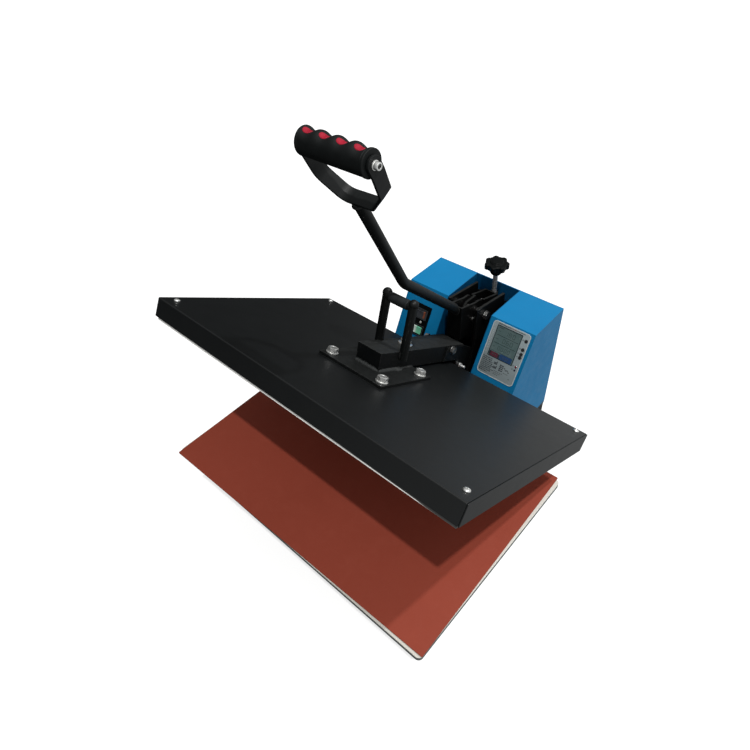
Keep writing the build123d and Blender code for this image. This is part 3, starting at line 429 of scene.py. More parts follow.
def ink(name, col, rough=0.45):
    m = Mat(name)
    v = m.noise(900.0, 2.0, 0.5)
    m.color(m.mix(m.remap(v, 0.3, 0.7, 0.0, 1.0), tuple(c * 0.7 for c in col), tuple(min(1, c * 1.3) for c in col)))
    m.rough(m.remap(m.noise(500.0, 2.0, 0.5), 0.3, 0.7, rough - 0.06, rough + 0.06))
    return m.m


M["ink_black"] = ink("ink_black_mat", (0.014, 0.018, 0.024))
M["ink_soft"] = ink("ink_soft_mat", (0.050, 0.062, 0.070))
M["ink_red"] = ink("ink_red_mat", (0.080, 0.012, 0.026))
M["ink_rust"] = ink("ink_rust_mat", (0.15, 0.040, 0.035))
M["ink_blue"] = ink("ink_blue_mat", (0.010, 0.045, 0.135))
M["ink_light"] = ink("ink_light_mat", (0.36, 0.40, 0.41))
M["ink_seg"] = ink("ink_segment_mat", (0.016, 0.028, 0.032), 0.25)
M["ink_faint"] = ink("ink_faint_mat", (0.030, 0.052, 0.054), 0.25)

NODE_MAT = {
    "silicone_pad": "silicone", "lower_plate": "alu", "heat_plate": "heat", "platen_cover": "cover",
    "cheek_plates": "plate_black", "pressure_bracket": "plate_black", "toggle_links": "plate_black", "lever_fork": "plate_black",
    "housing_left": "blue", "housing_right": "blue", "rear_panel": "blue_rear",
    "rubber_feet": "rubber", "bail_sleeve": "sleeve", "grip_sleeve": "grip", "grip_inserts": "grip_red",
    "grip_tube": "steel", "screw_thrust_block": "steel", "heating_element": "steel",
    "frame_screws": "zinc", "mount_bolts": "zinc", "cover_screws": "zinc", "arm_bolts": "zinc", "hinge_shaft": "zinc",
    "pivot_bolt": "dark_steel", "grip_bolt": "zinc", "pressure_screw": "zinc", "rear_screws": "zinc", "lower_toggle_pin": "dark_steel",
    "upper_toggle_pin": "dark_steel", "platen_spacers": "zinc", "control_panel": "film", "lcd_window": "lcd",
    "pressure_knob": "plastic", "controller_module": "plastic", "solid_state_relay": "plastic", "terminal_block": "plastic",
    "breaker_body": "plastic_dark", "switch_body": "plastic", "switch_plate": "plastic", "mains_gland": "plastic",
    "indicator_lamps": "lamp_red", "panel_key_1": "key", "panel_key_2": "key", "panel_key_3": "key", "panel_key_4": "key",
    "power_rocker": "green_lit", "breaker_rocker": "breaker", "insulation_board": "insulation", "hinge_bushes": "bronze",
    "platen_gland": "nickel", "thermocouple": "nickel", "lever_bar": "bar", "bail_handle": "bar", "grip_yoke": "yoke", "upper_arm": "arm", "arm_lugs": "mount", "arm_mount_plate": "mount_top", "base_frame": "side", "bed_stand": "side",
}


def paint(obj, mat):
    obj.data.materials.clear()
    obj.data.materials.append(M[mat])


for n, o in NODES.items():
    paint(o, NODE_MAT.get(n, "black"))

# ------------------------------------------------------------------ softened edges on carried-over pieces
EDGE = {
    "arm_mount_plate": 0.8, "upper_arm": 1.6, "arm_lugs": 0.5, "lever_fork": 0.6, "grip_yoke": 0.7,
    "cheek_plates": 0.5, "pressure_bracket": 0.5, "toggle_links": 0.5, "base_frame": 1.5, "bed_stand": 1.2, "rear_deck": 0.8,
    "housing_left": 1.2, "housing_right": 1.2, "lower_plate": 0.6, "silicone_pad": 0.45, "heat_plate": 0.6,
    "switch_plate": 0.45, "breaker_body": 0.35, "switch_body": 0.4, "breaker_rocker": 0.35, "power_rocker": 0.4,
    "control_panel": 0.25, "pressure_knob": 0.9, "screw_thrust_block": 0.6, "hinge_shaft": 0.5, "rubber_feet": 1.0,
    "controller_module": 0.8, "solid_state_relay": 0.8, "terminal_block": 0.8, "frame_screws": 0.4, "mains_gland": 0.4,
    "platen_gland": 0.4, "pivot_bolt": 0.4, "lcd_window": 0.2,
    "lever_bar": 0.5, "bail_handle": 0.6, "grip_sleeve": 1.0, "grip_inserts": 0.5, "platen_spacers": 0.3,
}


def soften(o, width, segs=2, clean=True):
    if clean:
        w = o.modifiers.new("weld", "WELD")
        w.merge_threshold = 2e-6
        d = o.modifiers.new("flat", "DECIMATE")
        d.decimate_type = "DISSOLVE"
        d.angle_limit = math.radians(0.6)
    b = o.modifiers.new("edge", "BEVEL")
    b.width = width * MM
    b.segments = segs
    b.limit_method = "ANGLE"
    b.angle_limit = math.radians(38)
    b.use_clamp_overlap = True
    b.miter_outer = "MITER_ARC"
    wn = o.modifiers.new("shade", "WEIGHTED_NORMAL")
    wn.keep_sharp = False
    wn.weight = 80


for n, wd in EDGE.items():
    if n in NODES:
        soften(NODES[n], wd)


# ------------------------------------------------------------------ mesh helpers (working in millimetres)
PIECES = []


def out(name, bm, mat, slot, body, smooth=40.0, place=ROW, bevel=0.0, replaces=None):
    """bm in frame millimetres -> a finished piece with its mesh in row metres"""
    bmesh.ops.recalc_face_normals(bm, faces=bm.faces[:])
    me = bpy.data.meshes.new(name)
    bm.to_mesh(me)
    bm.free()
    me.transform(place)
    o = bpy.data.objects.new(name, me)
    scene.collection.objects.link(o)
    me.materials.append(M[mat])
    for p in me.polygons:
        p.use_smooth = True
    me.set_sharp_from_angle(angle=math.radians(smooth))
    if bevel:
        soften(o, bevel, clean=False)
    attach(o, body)
    if replaces:
        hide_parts(*replaces)
    PIECES.append(o)
    return o


def at(bm, verts, m):
    bmesh.ops.transform(bm, matrix=m, verts=verts)


def rings(bm, loops, close_ends=True, wrap=False):
    """Skin a list of closed loops (each a list of points)."""
    made = [[bm.verts.new(p) for p in lp] for lp in loops]
    n = len(made[0])
    pairs = list(zip(made, made[1:]))
    if wrap:
        pairs.append((made[-1], made[0]))
    for a, b in pairs:
        for i in range(n):
            j = (i + 1) % n
            bm.faces.new((a[i], a[j], b[j], b[i]))
    if close_ends and not wrap:
        bm.faces.new(made[0][::-1])
        bm.faces.new(made[-1])
    return [v for lp in made for v in lp]


def lathe(bm, prof, segs=40, m=None, knurl=None):
    """Closed solid of revolution about z; prof runs from bottom centre to top centre as (r, z) with r > 0."""
    loops = []
    for r, z in prof:
        loops.append([((r + (knurl[2] * (1 if i % 2 else -1) if knurl and knurl[0] <= z <= knurl[1] and r > 1 else 0)) * math.cos(2 * math.pi * i / segs),
                       (r + (knurl[2] * (1 if i % 2 else -1) if knurl and knurl[0] <= z <= knurl[1] and r > 1 else 0)) * math.sin(2 * math.pi * i / segs), z) for i in range(segs)])
    v = rings(bm, loops)
    if m is not None:
        at(bm, v, m)
    return v


def hexhead(bm, af, z0, z1, m=None, dish=True, both_ends=False, hole=0.0):
    """Hexagon head or nut with its corners chamfered by a cone."""
    segs, a = 72, af / 2
    r0 = a * 0.95

    def hexr(th):
        k = (th + math.pi / 6) % (math.pi / 3) - math.pi / 6
        return a / math.cos(k)

    ths = [2 * math.pi * i / segs for i in range(segs)]
    tn = math.tan(math.radians(30))
    h = z1

    def ring(rf, zf):
        return [(rf(t) * math.cos(t), rf(t) * math.sin(t), zf(t)) for t in ths]

    loops = []
    inner = hole if hole else a * 0.55
    if both_ends:
        loops.append(ring(lambda t: inner, lambda t: z0))
        loops.append(ring(lambda t: r0, lambda t: z0))
        loops.append(ring(hexr, lambda t: z0 + (hexr(t) - r0) * tn))
    else:
        loops.append(ring(lambda t: inner, lambda t: z0))
        loops.append(ring(hexr, lambda t: z0))
    loops.append(ring(hexr, lambda t: h - (hexr(t) - r0) * tn))
    loops.append(ring(lambda t: r0, lambda t: h))
    if dish and not hole:
        loops.append(ring(lambda t: a * 0.70, lambda t: h))
        loops.append(ring(lambda t: a * 0.62, lambda t: h - 0.45))
        v = rings(bm, loops)
    else:
        loops.append(ring(lambda t: inner, lambda t: h))
        v = rings(bm, loops, close_ends=not hole, wrap=bool(hole))
    if m is not None:
        at(bm, v, m)
    return v


def washer(bm, ro, ri, z0, z1, m=None, segs=48):
    c = min(0.35, (z1 - z0) * 0.3)
    prof = [(ri, z0), (ro - c, z0), (ro - c * 0.3, z0 + c * 0.3), (ro, z0 + c), (ro, z1 - c), (ro - c * 0.3, z1 - c * 0.3), (ro - c, z1), (ri + c, z1), (ri, z1 - c)]
    loops = [[(r * math.cos(2 * math.pi * i / segs), r * math.sin(2 * math.pi * i / segs), z) for i in range(segs)] for r, z in prof]
    v = rings(bm, loops, wrap=True)
    if m is not None:
        at(bm, v, m)
    return v


def split_washer(bm, ro, ri, z0, z1, m=None, start=0.0):
    """Spring washer: a ring cut across with its ends a little apart."""
    n = 44
    loops = []
    for i in range(n + 1):
        t = math.radians(start + 5 + 350 * i / n)
        lift = 0.5 * i / n
        c, s = math.cos(t), math.sin(t)
        loops.append([(ri * c, ri * s, z0 + lift), (ro * c, ro * s, z0 + lift), (ro * c, ro * s, z1 - 0.5 + lift), (ri * c, ri * s, z1 - 0.5 + lift)])
    v = rings(bm, loops)
    if m is not None:
        at(bm, v, m)
    return v


def thread(bm, r, pitch, z0, z1, m=None, depth=0.55, segs=24, lead=1.2):
    """Rod with a helical thread and tapered ends."""
    per = 6
    n = max(4, int((z1 - z0) / pitch * per))
    loops = []
    for k in range(n + 1):
        z = z0 + (z1 - z0) * k / n
        lp = []
        for i in range(segs):
            ph = (z / pitch - i / segs) % 1.0
            tri = 1 - abs(2 * ph - 1)
            rr = r - depth + depth * min(1.0, tri * 1.25)
            e = min(z - z0, z1 - z)
            if e < lead:
                rr = min(rr, r - depth - 0.2 + (depth + 0.2) * e / lead)
            t = 2 * math.pi * i / segs
            lp.append((rr * math.cos(t), rr * math.sin(t), z))
        loops.append(lp)
    v = rings(bm, loops)
    if m is not None:
        at(bm, v, m)
    return v


def weld_bead(bm, pts, r, closed=False, m=None, step=0.75, ripple=2.3, seed=1, flat=1.0):
    """A bead of overlapping ripples laid along a path."""
    rnd = random.Random(seed)
    P3 = [Vector(p) for p in pts]
    if closed:
        P3.append(P3[0])
    seg = [(b - a).length for a, b in zip(P3, P3[1:])]
    total = sum(seg)
    n = max(6, int(total / step))
    cs = []
    for k in range(n + (0 if closed else 1)):
        s = total * k / n
        i, acc = 0, 0.0
        while i < len(seg) - 1 and acc + seg[i] < s:
            acc += seg[i]
            i += 1
        cs.append(P3[i].lerp(P3[i + 1], (s - acc) / max(seg[i], 1e-6)))
    loops = []
    phase = rnd.random()
    jit = [rnd.uniform(-0.12, 0.12) for _ in range(int(total / ripple) + 3)]
    nn = len(cs)
    for k, c in enumerate(cs):
        a = cs[(k - 1) % nn] if closed or k > 0 else c
        b = cs[(k + 1) % nn] if closed or k < nn - 1 else c
        tan = (b - a).normalized()
        up = Vector((0.31, 0.22, 0.92))
        n1 = tan.cross(up).normalized()
        n2 = tan.cross(n1).normalized()
        s = total * k / n
        u = s / ripple + phase
        rr = r * (0.86 + 0.20 * abs(math.sin(math.pi * u)) + jit[int(u) % len(jit)])
        if not closed:
            e = min(s, total - s)
            rr *= min(1.0, 0.35 + e / (2.2 * r))
        off = 0.18 * r * math.sin(1.7 * u)
        loops.append([tuple(c + (n1 * math.cos(q) + n2 * math.sin(q) * flat) * rr + tan * off * 0.3) for q in [2 * math.pi * j / 10 for j in range(10)]])
    v = rings(bm, loops, close_ends=not closed, wrap=closed)
    if m is not None:
        at(bm, v, m)
    return v


def slab(bm, pts, z0, z1, m=None):
    """Flat outline pulled up between two heights."""
    v = rings(bm, [[(x, y, z0) for x, y in pts], [(x, y, z1) for x, y in pts]])
    if m is not None:
        at(bm, v, m)
    return v


def rect(cx, cy, w, h, ang=0.0):
    c, s = math.cos(ang), math.sin(ang)
    return [(cx + c * x - s * y, cy + s * x + c * y) for x, y in ((-w / 2, -h / 2), (w / 2, -h / 2), (w / 2, h / 2), (-w / 2, h / 2))]


def round_rect(cx, cy, w, h, r, n=8):
    pts = []
    for qx, qy, a0 in ((1, 1, 0), (-1, 1, 90), (-1, -1, 180), (1, -1, 270)):
        for k in range(n + 1):
            t = math.radians(a0 + 90 * k / n)
            pts.append((cx + qx * (w / 2 - r) + r * math.cos(t), cy + qy * (h / 2 - r) + r * math.sin(t)))
    return pts


def frame_ring(bm, outer, inner, z0, z1, lift=0.0):
    """A flat ring between two outlines with the same number of points."""
    rings(bm, [[(x, y, z0) for x, y in outer], [(x, y, z1) for x, y in outer], [(x, y, z1 + lift) for x, y in inner], [(x, y, z0) for x, y in inner]], wrap=True)


def T(x, y, z):
    return Matrix.Translation((x, y, z))


def RX(a):
    return Matrix.Rotation(math.radians(a), 4, "X")


def RY(a):
    return Matrix.Rotation(math.radians(a), 4, "Y")


def RZ(a):
    return Matrix.Rotation(math.radians(a), 4, "Z")


# ------------------------------------------------------------------ platen cover: folded top with separate ends
def cover():
    bm = bmesh.new()
    D, H, S, R = 426.0, 33.0, 1.5, 2.0
    outer, inner = [(0.0, 0.0)], [(S, 0.0)]
    for c, a0, a1 in (((R, H - R), 180, 90), ((D - R, H - R), 90, 0)):
        for k in range(7):
            t = math.radians(a0 + (a1 - a0) * k / 6)
            outer.append((c[0] + R * math.cos(t), c[1] + R * math.sin(t)))
            inner.append((c[0] + (R - S) * math.cos(t), c[1] + (R - S) * math.sin(t)))
    outer.append((D, 0.0))
    inner.append((D - S, 0.0))
    prof = outer + inner[::-1]
    X = 307.85
    c = 0.35
    rings(bm, [[(x, v, t) for v, t in prof] for x in (-X, X)])
    o = out("platen_cover_sheet", bm, "cover", "powder_black", "platen", 50, UP, bevel=0.55, replaces=["platen_cover"])
    bm = bmesh.new()
    end = [(0.25, 0.0)]
    for cc, a0, a1 in (((0.25 + R, H - 0.15 - R), 180, 90), ((D - 0.25 - R, H - 0.15 - R), 90, 0)):
        for k in range(7):
            t = math.radians(a0 + (a1 - a0) * k / 6)
            end.append((cc[0] + R * math.cos(t), cc[1] + R * math.sin(t)))
    end.append((D - 0.25, 0.0))
    for sx in (-1, 1):
        rings(bm, [[(sx * x, v, t) for v, t in end] for x in (308.45, 310.0)])
        # return flange that the end is welded to, seen only from below
        rings(bm, [[(sx * x, v, t) for v, t in ((3.0, 29.5), (D - 3.0, 29.5), (D - 3.0, 31.0), (3.0, 31.0))] for x in (297.0, 308.6)])
        for v0, v1 in ((1.6, 2.9), (D - 2.9, D - 1.6)):
            rings(bm, [[(sx * x, v, t) for v, t in ((v0, 0.3), (v1, 0.3), (v1, 31.2), (v0, 31.2))] for x in (297.0, 308.7)])
    out("platen_cover_ends", bm, "cover", "powder_black", "platen", 50, UP, bevel=0.45)


cover()

# ------------------------------------------------------------------ cross-recess pan heads
def pan_head_mesh(r, h):
    bm = bmesh.new()
    prof = [(0.01, -6.0), (r * 0.36, -6.0), (r * 0.36, 0.0), (r * 0.97, 0.0), (r, h * 0.10), (r, h * 0.26)]
    for k in range(1, 9):
        a = math.radians(90 * k / 9)
        prof.append((r * (0.30 + 0.70 * math.cos(a)) if k < 8 else r * 0.30, h * (0.26 + 0.74 * math.sin(a))))
    prof.append((0.01, h))
    lathe(bm, prof, 48)
    me = bpy.data.meshes.new("pan")
    bmesh.ops.recalc_face_normals(bm, faces=bm.faces[:])
    bm.to_mesh(me)
    bm.free()
    head = bpy.data.objects.new("pan_tmp", me)
    scene.collection.objects.link(head)
    bm = bmesh.new()
    for q in (0, 90):
        a = [(-r * 0.56, -r * 0.13, h + 0.6), (r * 0.56, -r * 0.13, h + 0.6), (r * 0.56, r * 0.13, h + 0.6), (-r * 0.56, r * 0.13, h + 0.6)]
        b = [(-r * 0.30, -r * 0.09, h * 0.32), (r * 0.30, -r * 0.09, h * 0.32), (r * 0.30, r * 0.09, h * 0.32), (-r * 0.30, r * 0.09, h * 0.32)]
        e = 0.013 if q else 0.0
        v = rings(bm, [[(x, y, z + e) for x, y, z in b], [(x, y, z + e) for x, y, z in a]])
        at(bm, v, RZ(q))
    bmesh.ops.recalc_face_normals(bm, faces=bm.faces[:])
    mc = bpy.data.meshes.new("cut")
    bm.to_mesh(mc)
    bm.free()
    cut = bpy.data.objects.new("cut_tmp", mc)
    scene.collection.objects.link(cut)
    mod = head.modifiers.new("b", "BOOLEAN")
    mod.operation = "DIFFERENCE"
    mod.solver = "EXACT"
    mod.use_self = True
    mod.object = cut
    dg = bpy.context.evaluated_depsgraph_get()
    res = bpy.data.meshes.new_from_object(head.evaluated_get(dg))
    for o in (head, cut):
        bpy.data.objects.remove(o, do_unlink=True)
    return res


def pan_heads(name, places, r, h, mat, slot, body, place, replaces=None):
    src = pan_head_mesh(r, h)
    bm = bmesh.new()
    for m in places:
        n0 = len(bm.verts)
        bm.from_mesh(src)
        bm.verts.ensure_lookup_table()
        at(bm, bm.verts[n0:], m)
    return out(name, bm, mat, slot, body, 32, place, replaces=replaces)


CS = [(sx * 293.0, v) for sx in (-1, 1) for v in (24.0, 411.0)]
pan_heads("cover_screw_heads", [T(x, v, 33.0) @ RZ(17 + 31 * i) for i, (x, v) in enumerate(CS)], 5.2, 2.9, "zinc", "zinc_steel", "platen", UP, ["cover_screws"])
RS = [(sx * x, z) for sx in (-1, 1) for x in (60.0, 139.0) for z in (-70.0, 160.0)]
pan_heads("rear_screw_heads", [T(x, 431.0, z) @ RX(-90) @ RZ(23 * i) for i, (x, z) in enumerate(RS)], 3.6, 2.1, "zinc", "zinc_steel", "base", ROW, ["rear_screws"])

# ------------------------------------------------------------------ bolts
MB = [(sx * 54.0, v) for sx in (-1, 1) for v in (158.0, 267.0)]
bm = bmesh.new()
for i, (x, v) in enumerate(MB):
    m = T(x, v, 0)
    washer(bm, 10.5, 5.2, 38.0, 39.9, m)
    split_washer(bm, 8.4, 5.2, 39.9, 42.3, m, start=70 * i + 30)
    hexhead(bm, 16.0, 42.1, 47.4, m @ RZ(13 + 29 * i))
    lathe(bm, [(0.01, 6.0), (4.4, 6.0), (5.0, 7.0), (5.0, 42.6), (0.01, 42.6)], 24, m)
out("mount_bolt_set", bm, "zinc", "zinc_steel", "platen", 32, UP, replaces=["mount_bolts"])

bm = bmesh.new()
m = T(0, 279.0, 0)
washer(bm, 13.0, 5.2, 70.0, 71.9, m)
split_washer(bm, 9.0, 5.2, 71.9, 74.2, m, start=200)
hexhead(bm, 17.0, 74.0, 79.0, m @ RZ(8))
lathe(bm, [(0.01, 61.0), (4.4, 61.0), (5.0, 62.0), (5.0, 74.4), (0.01, 74.4)], 24, m)
out("arm_top_bolt", bm, "zinc", "zinc_steel", "platen", 32, UP)
bm = bmesh.new()
for sx in (-1, 1):
    m = T(0, 402.0, 63.0) @ RY(90 * sx)
    washer(bm, 8.0, 4.2, 28.4, 29.9, m)
    hexhead(bm, 13.0, 29.9, 35.2, m @ RZ(12))
    lathe(bm, [(0.01, 14.8), (4.0, 14.8), (4.0, 30.4), (0.01, 30.4)], 24, m)
bmB = bmesh.new()
for sx in (-1, 1):
    m = T(0, 264.5, 79.0) @ RY(90 * sx)
    washer(bmB, 5.0, 2.6, 28.4, 29.6, m)
    hexhead(bmB, 8.0, 29.6, 33.6, m @ RZ(20), both_ends=True, hole=2.45)
    thread(bmB, 2.5, 0.8, 24.9, 40.9, m, depth=0.30, segs=16, lead=0.6)
out("arm_side_bolts", bm, "dark_steel", "zinc_steel", "platen", 32, UP)
out("lug_studs", bmB, "zinc", "zinc_steel", "platen", 32, ROW, replaces=["arm_bolts"])

# grip bolt: socket cap screw on the right, nut on the left (x along the grip, in the lever frame)
bm = bmesh.new()
gm = T(0, 5.5, 280.5)
R_ = gm @ RY(90)
washer(bm, 6.0, 3.1, 63.5, 64.7, R_)
lathe(bm, [(0.01, 64.7), (4.75, 64.7), (5.0, 65.0), (5.0, 69.9), (4.8, 70.4), (4.4, 70.7), (3.2, 70.7), (3.05, 70.5), (3.05, 67.1), (0.01, 67.1)], 60, R_, knurl=(65.0, 70.0, 0.09))
L_ = gm @ RY(-90)
washer(bm, 6.0, 3.1, 59.0, 60.2, L_)
hexhead(bm, 10.0, 60.2, 65.2, L_ @ RZ(11), both_ends=True, hole=2.9)
thread(bm, 3.0, 1.0, 54.0, 64.9, L_, depth=0.4, segs=20)
lathe(bm, [(0.01, -54.2), (3.0, -54.2), (3.0, 65.0), (0.01, 65.0)], 24, R_)
out("grip_bolt_set", bm, "zinc", "zinc_steel", "lever", 32, YK, replaces=["grip_bolt"])
# painted shade: a black hexagon sheet at the bottom of the round recess stands for the shade down the socket's hex hole
bm = bmesh.new()
v = slab(bm, [(2.98 * math.cos(math.radians(60 * k + 14)), 2.98 * math.sin(math.radians(60 * k + 14))) for k in range(6)], 67.0, 67.4)
at(bm, v, R_)
out("grip_bolt_socket_shade", bm, "plastic", "plastic_black", "lever", 32, YK)

# pressure screw: ground shank under the knob, thread below
bm = bmesh.new()
m = T(0, 416.5, 0)
lathe(bm, [(0.01, 118.0), (4.6, 118.0), (5.0, 118.8), (5.0, 214.0), (0.01, 214.0)], 64, m)
thread(bm, 5.0, 1.75, 112.0, 118.4, m, depth=0.55, segs=24)
lathe(bm, [(0.01, 108.3), (7.3, 108.3), (8.0, 109.0), (8.0, 111.3), (7.3, 112.0), (0.01, 112.0)], 40, m)
lathe(bm, [(0.01, 79.8), (7.3, 79.8), (8.0, 80.5), (8.0, 83.0), (7.3, 83.7), (0.01, 83.7)], 40, m)
lathe(bm, [(0.01, 76.0), (4.4, 76.0), (5.0, 76.6), (5.0, 112.2), (0.01, 112.2)], 40, m)
out("pressure_screw_rod", bm, "rod", "bare_steel", "screw", 32, ROW, replaces=["pressure_screw"])

# knob: plain cap disc set in the star's top
bm = bmesh.new()
m = T(0, 416.5, 0)
lathe(bm, [(0.01, 227.7), (9.6, 227.7), (9.9, 228.1), (9.9, 228.5), (9.4, 228.85), (4.0, 229.0), (0.01, 229.0)], 48, m)
out("knob_cap", bm, "plastic", "plastic_black", "screw", 32, ROW)

# ------------------------------------------------------------------ weld beads
def ring_pts(n, f):
    return [f(2 * math.pi * k / n) for k in range(n)]


bm = bmesh.new()
A_ = 24.8
weld_bead(bm, [(-A_ - 1.2, 284.0, 38.6), (-A_ - 1.2, 186.0, 38.6)], 3.0, seed=3, flat=0.85)
weld_bead(bm, [(A_ + 1.2, 236.0, 38.6), (A_ + 1.2, 284.0, 38.6)], 3.0, seed=4, flat=0.85)
bf = bmesh.new()
weld_bead(bf, [(-A_ - 0.8, 183.0, 38.9), (A_ + 0.8, 183.0, 38.9)], 4.8, seed=5, flat=0.9, ripple=3.0)
weld_bead(bf, [(A_ + 1.3, 184.0, 38.6), (A_ + 1.3, 237.0, 38.6)], 3.9, seed=6, flat=0.9, ripple=3.0)
weld_bead(bf, [(A_ + 2.6, 226.0, 38.8), (A_ + 3.4, 248.0, 38.8)], 5.4, seed=8, flat=0.55, ripple=3.0)
out("arm_foot_weld", bf, "weld_foot", "powder_black", "platen", 60, UP)


def bail_v(t):
    return 220.0 + (149.2 - t) * 0.23


for sx in (-1, 1):
    for dv in (-7.3, 7.3):
        weld_bead(bm, [(sx * (A_ + 0.6), bail_v(57.5) + dv, 57.5), (sx * (A_ + 0.6), bail_v(69.0) + dv, 69.0)], 1.7, seed=7 + sx)
out("arm_weld_beads", bm, "weld", "powder_black", "platen", 60, UP)

bm = bmesh.new()
pts = ring_pts(44, lambda t: (9.2 * math.cos(t), 280.6, 195.6 + 12.6 * math.sin(t)))
pts = [p for p in pts if p[2] < 201.5]
k0 = max(range(len(pts)), key=lambda i: (Vector(pts[i]) - Vector(pts[i - 1])).length)
pts = pts[k0:] + pts[:k0]
weld_bead(bm, pts, 1.9, seed=21)
out("fork_weld_bead", bm, "weld", "powder_black", "lever", 60, ROW)
bm = bmesh.new()
pts = ring_pts(40, lambda t: (9.3 * math.cos(t), 9.3 * math.sin(t), 193.4 + 0.7 * math.cos(t)))
weld_bead(bm, pts, 1.7, closed=True, seed=22)
out("yoke_weld_bead", bm, "weld", "powder_black", "lever", 60, YK)

bm = bmesh.new()
sd = 30
for sx in (-1, 1):
    for y in (-72.0, 150.0):
        x = sx * 126.0
        q = [(x - 15.6, y - 15.6, -89.4), (x + 15.6, y - 15.6, -89.4), (x + 15.6, y + 15.6, -89.4), (x - 15.6, y + 15.6, -89.4)]
        weld_bead(bm, q, 2.0, closed=True, seed=sd)
        sd += 1
    for y in (-90.0, -60.0, 60.0, 90.0, 262.0, 292.0, 380.0, 410.0):
        weld_bead(bm, [(sx * 105.4, y, -128.0), (sx * 105.4, y, -92.0)], 1.8, seed=sd)
        sd += 1
    for x in (28.4, 34.6):
        weld_bead(bm, [(sx * x, 264.0, -83.6), (sx * x, 425.0, -83.6)], 1.8, seed=sd)
        sd += 1
out("frame_weld_beads", bm, "weld", "powder_black", "base", 60, ROW)

# ------------------------------------------------------------------ end caps in the base rails
bm = bmesh.new()
for sx in (-1, 1):
    for y, d in ((-105.0, -1), (429.0, 1)):
        v = rings(bm, [[(px, 0.0, pz) for px, pz in round_rect(sx * 126.0, -110.0, 38.6 - k, 38.6 - k, 3.0, 5)] for k in (0.0, 0.0, 1.2)])
        vs = v[len(v) // 3:2 * len(v) // 3] + v[2 * len(v) // 3:]
        n3 = len(v) // 3
        for i, vv in enumerate(v):
            vv.co.y = y + d * (0.0, 1.3, 1.9)[i // n3]
out("rail_end_caps", bm, "plastic", "plastic_black", "base", 40, ROW)

# ------------------------------------------------------------------ control panel graphics (x, -down, out)
PZ = 1.2
bm = bmesh.new()
frame_ring(bm, round_rect(100, -57.2, 79.7, 107.7, 6.9), round_rect(100, -57.2, 77.0, 105.0, 5.6), PZ - 0.05, PZ + 0.28, 0.0)
out("panel_rim", bm, "film_rim", "panel_silver", "base", 30, FACE, bevel=0.10)

bm = bmesh.new()
frame_ring(bm, round_rect(97.5, -41.0, 54.6, 63.6, 1.2), round_rect(97.5, -41.0, 51.6, 60.6, 0.6), PZ - 0.05, PZ + 0.22)
out("lcd_bezel", bm, "ink_seg", "plastic_black", "base", 30, FACE, bevel=0.08)

rnd = random.Random(5)
dark, soft_, light, rust = [], [], [], []
# heading row above the window
x = 70.5
while x < 96.0:
    w = rnd.choice((1.2, 1.6, 2.2))
    dark.append((x + w / 2, -6.9, w, 2.0))
    x += w + 0.7
while x < 109.0:
    w = rnd.choice((1.4, 1.8))
    rust.append((x + w / 2, -6.9, w, 1.7))
    x += w + 0.8
while x < 126.0:
    w = rnd.choice((1.0, 1.5, 2.0))
    dark.append((x + w / 2, -6.9, w, 1.6))
    x += w + 0.8
# small print rows low on the left
for r in range(9):
    y = -76.6 - 3.5 * r
    x = 63.6
    end = (85.0, 84.0, 87.0, 85.0, 89.0, 87.0, 91.0, 86.0, 81.0)[r]
    while x < end:
        w = rnd.choice((1.2, 1.8, 2.6, 3.2))
        (dark if rnd.random() < 0.78 else soft_).append((x + w / 2, y, w, 2.05))
        x += w + 0.75
# small pictograms: stacked plates, a lever arrow, dots
for cx, cy in ((93.0, -80.0), (94.0, -88.5)):
    dark.append((cx, cy, 7.4, 1.6))
    dark.append((cx, cy - 2.4, 7.4, 1.9))
    dark.append((cx + 3.0, cy + 2.0, 1.4, 2.8))
for cx, cy in ((104.5, -80.5), (104.5, -84.0), (104.5, -87.5), (104.5, -91.0)):
    dark.append((cx, cy, 3.4, 2.6))
    dark.append((cx + 4.6, cy, 4.2, 1.9))
for k in range(4):
    dark.append((114.0 + 3.1 * k, -83.5 - (1.9 if k % 2 else 0.0) - 0.8 * k, 3.0, 1.8))
for k in range(3):
    soft_.append((115.0 + 3.6 * k, -92.5, 2.6, 1.1))
for r in range(3):
    for k in range(5 - r):
        soft_.append((96.0 + 3.9 * k, -96.0 - 3.2 * r, 2.6, 1.3))
dark.append((128.5, -99.5, 2.2, 1.3))
# left margin marks
y = -12.0
while y > -70.0:
    h = rnd.choice((1.0, 1.6, 2.4))
    light.append((65.0 + rnd.uniform(-1.2, 1.2), y, rnd.choice((1.4, 2.2, 3.4)), h * 0.6))
    y -= h + 1.6
# labels beside the keys and lamps
for d in (17.8, 35.0, 44.2, 51.0, 70.6, 77.2):
    soft_.append((127.6, -d + 0.8, 3.0, 0.8))
    soft_.append((127.2, -d - 0.7, 2.2, 0.7))


def print_marks(name, rects, mat, z=PZ, slot="plastic_black"):
    bm = bmesh.new()
    for cx, cy, w, h in rects:
        slab(bm, rect(cx, cy, w, h), z - 0.02, z + 0.06)
    out(name, bm, mat, slot, "base", 30, FACE)


print_marks("panel_marks_dark", dark, "ink_black")
print_marks("panel_marks_soft", soft_, "ink_soft")
print_marks("panel_marks_light", light, "ink_light", slot="panel_silver")
print_marks("panel_marks_rust", rust, "ink_rust")

# printed rings round the keys
bm = bmesh.new()
for d in (17.8, 35.0, 44.2, 51.0):
    frame_ring(bm, [(133.7 + 3.7 * math.cos(t), -d + 3.7 * math.sin(t)) for t in [math.pi * k / 16 for k in range(32)]],
               [(133.7 + 2.75 * math.cos(t), -d + 2.75 * math.sin(t)) for t in [math.pi * k / 16 for k in range(32)]], PZ - 0.02, PZ + 0.07)
out("key_rings", bm, "ink_soft", "plastic_black", "base", 30, FACE)

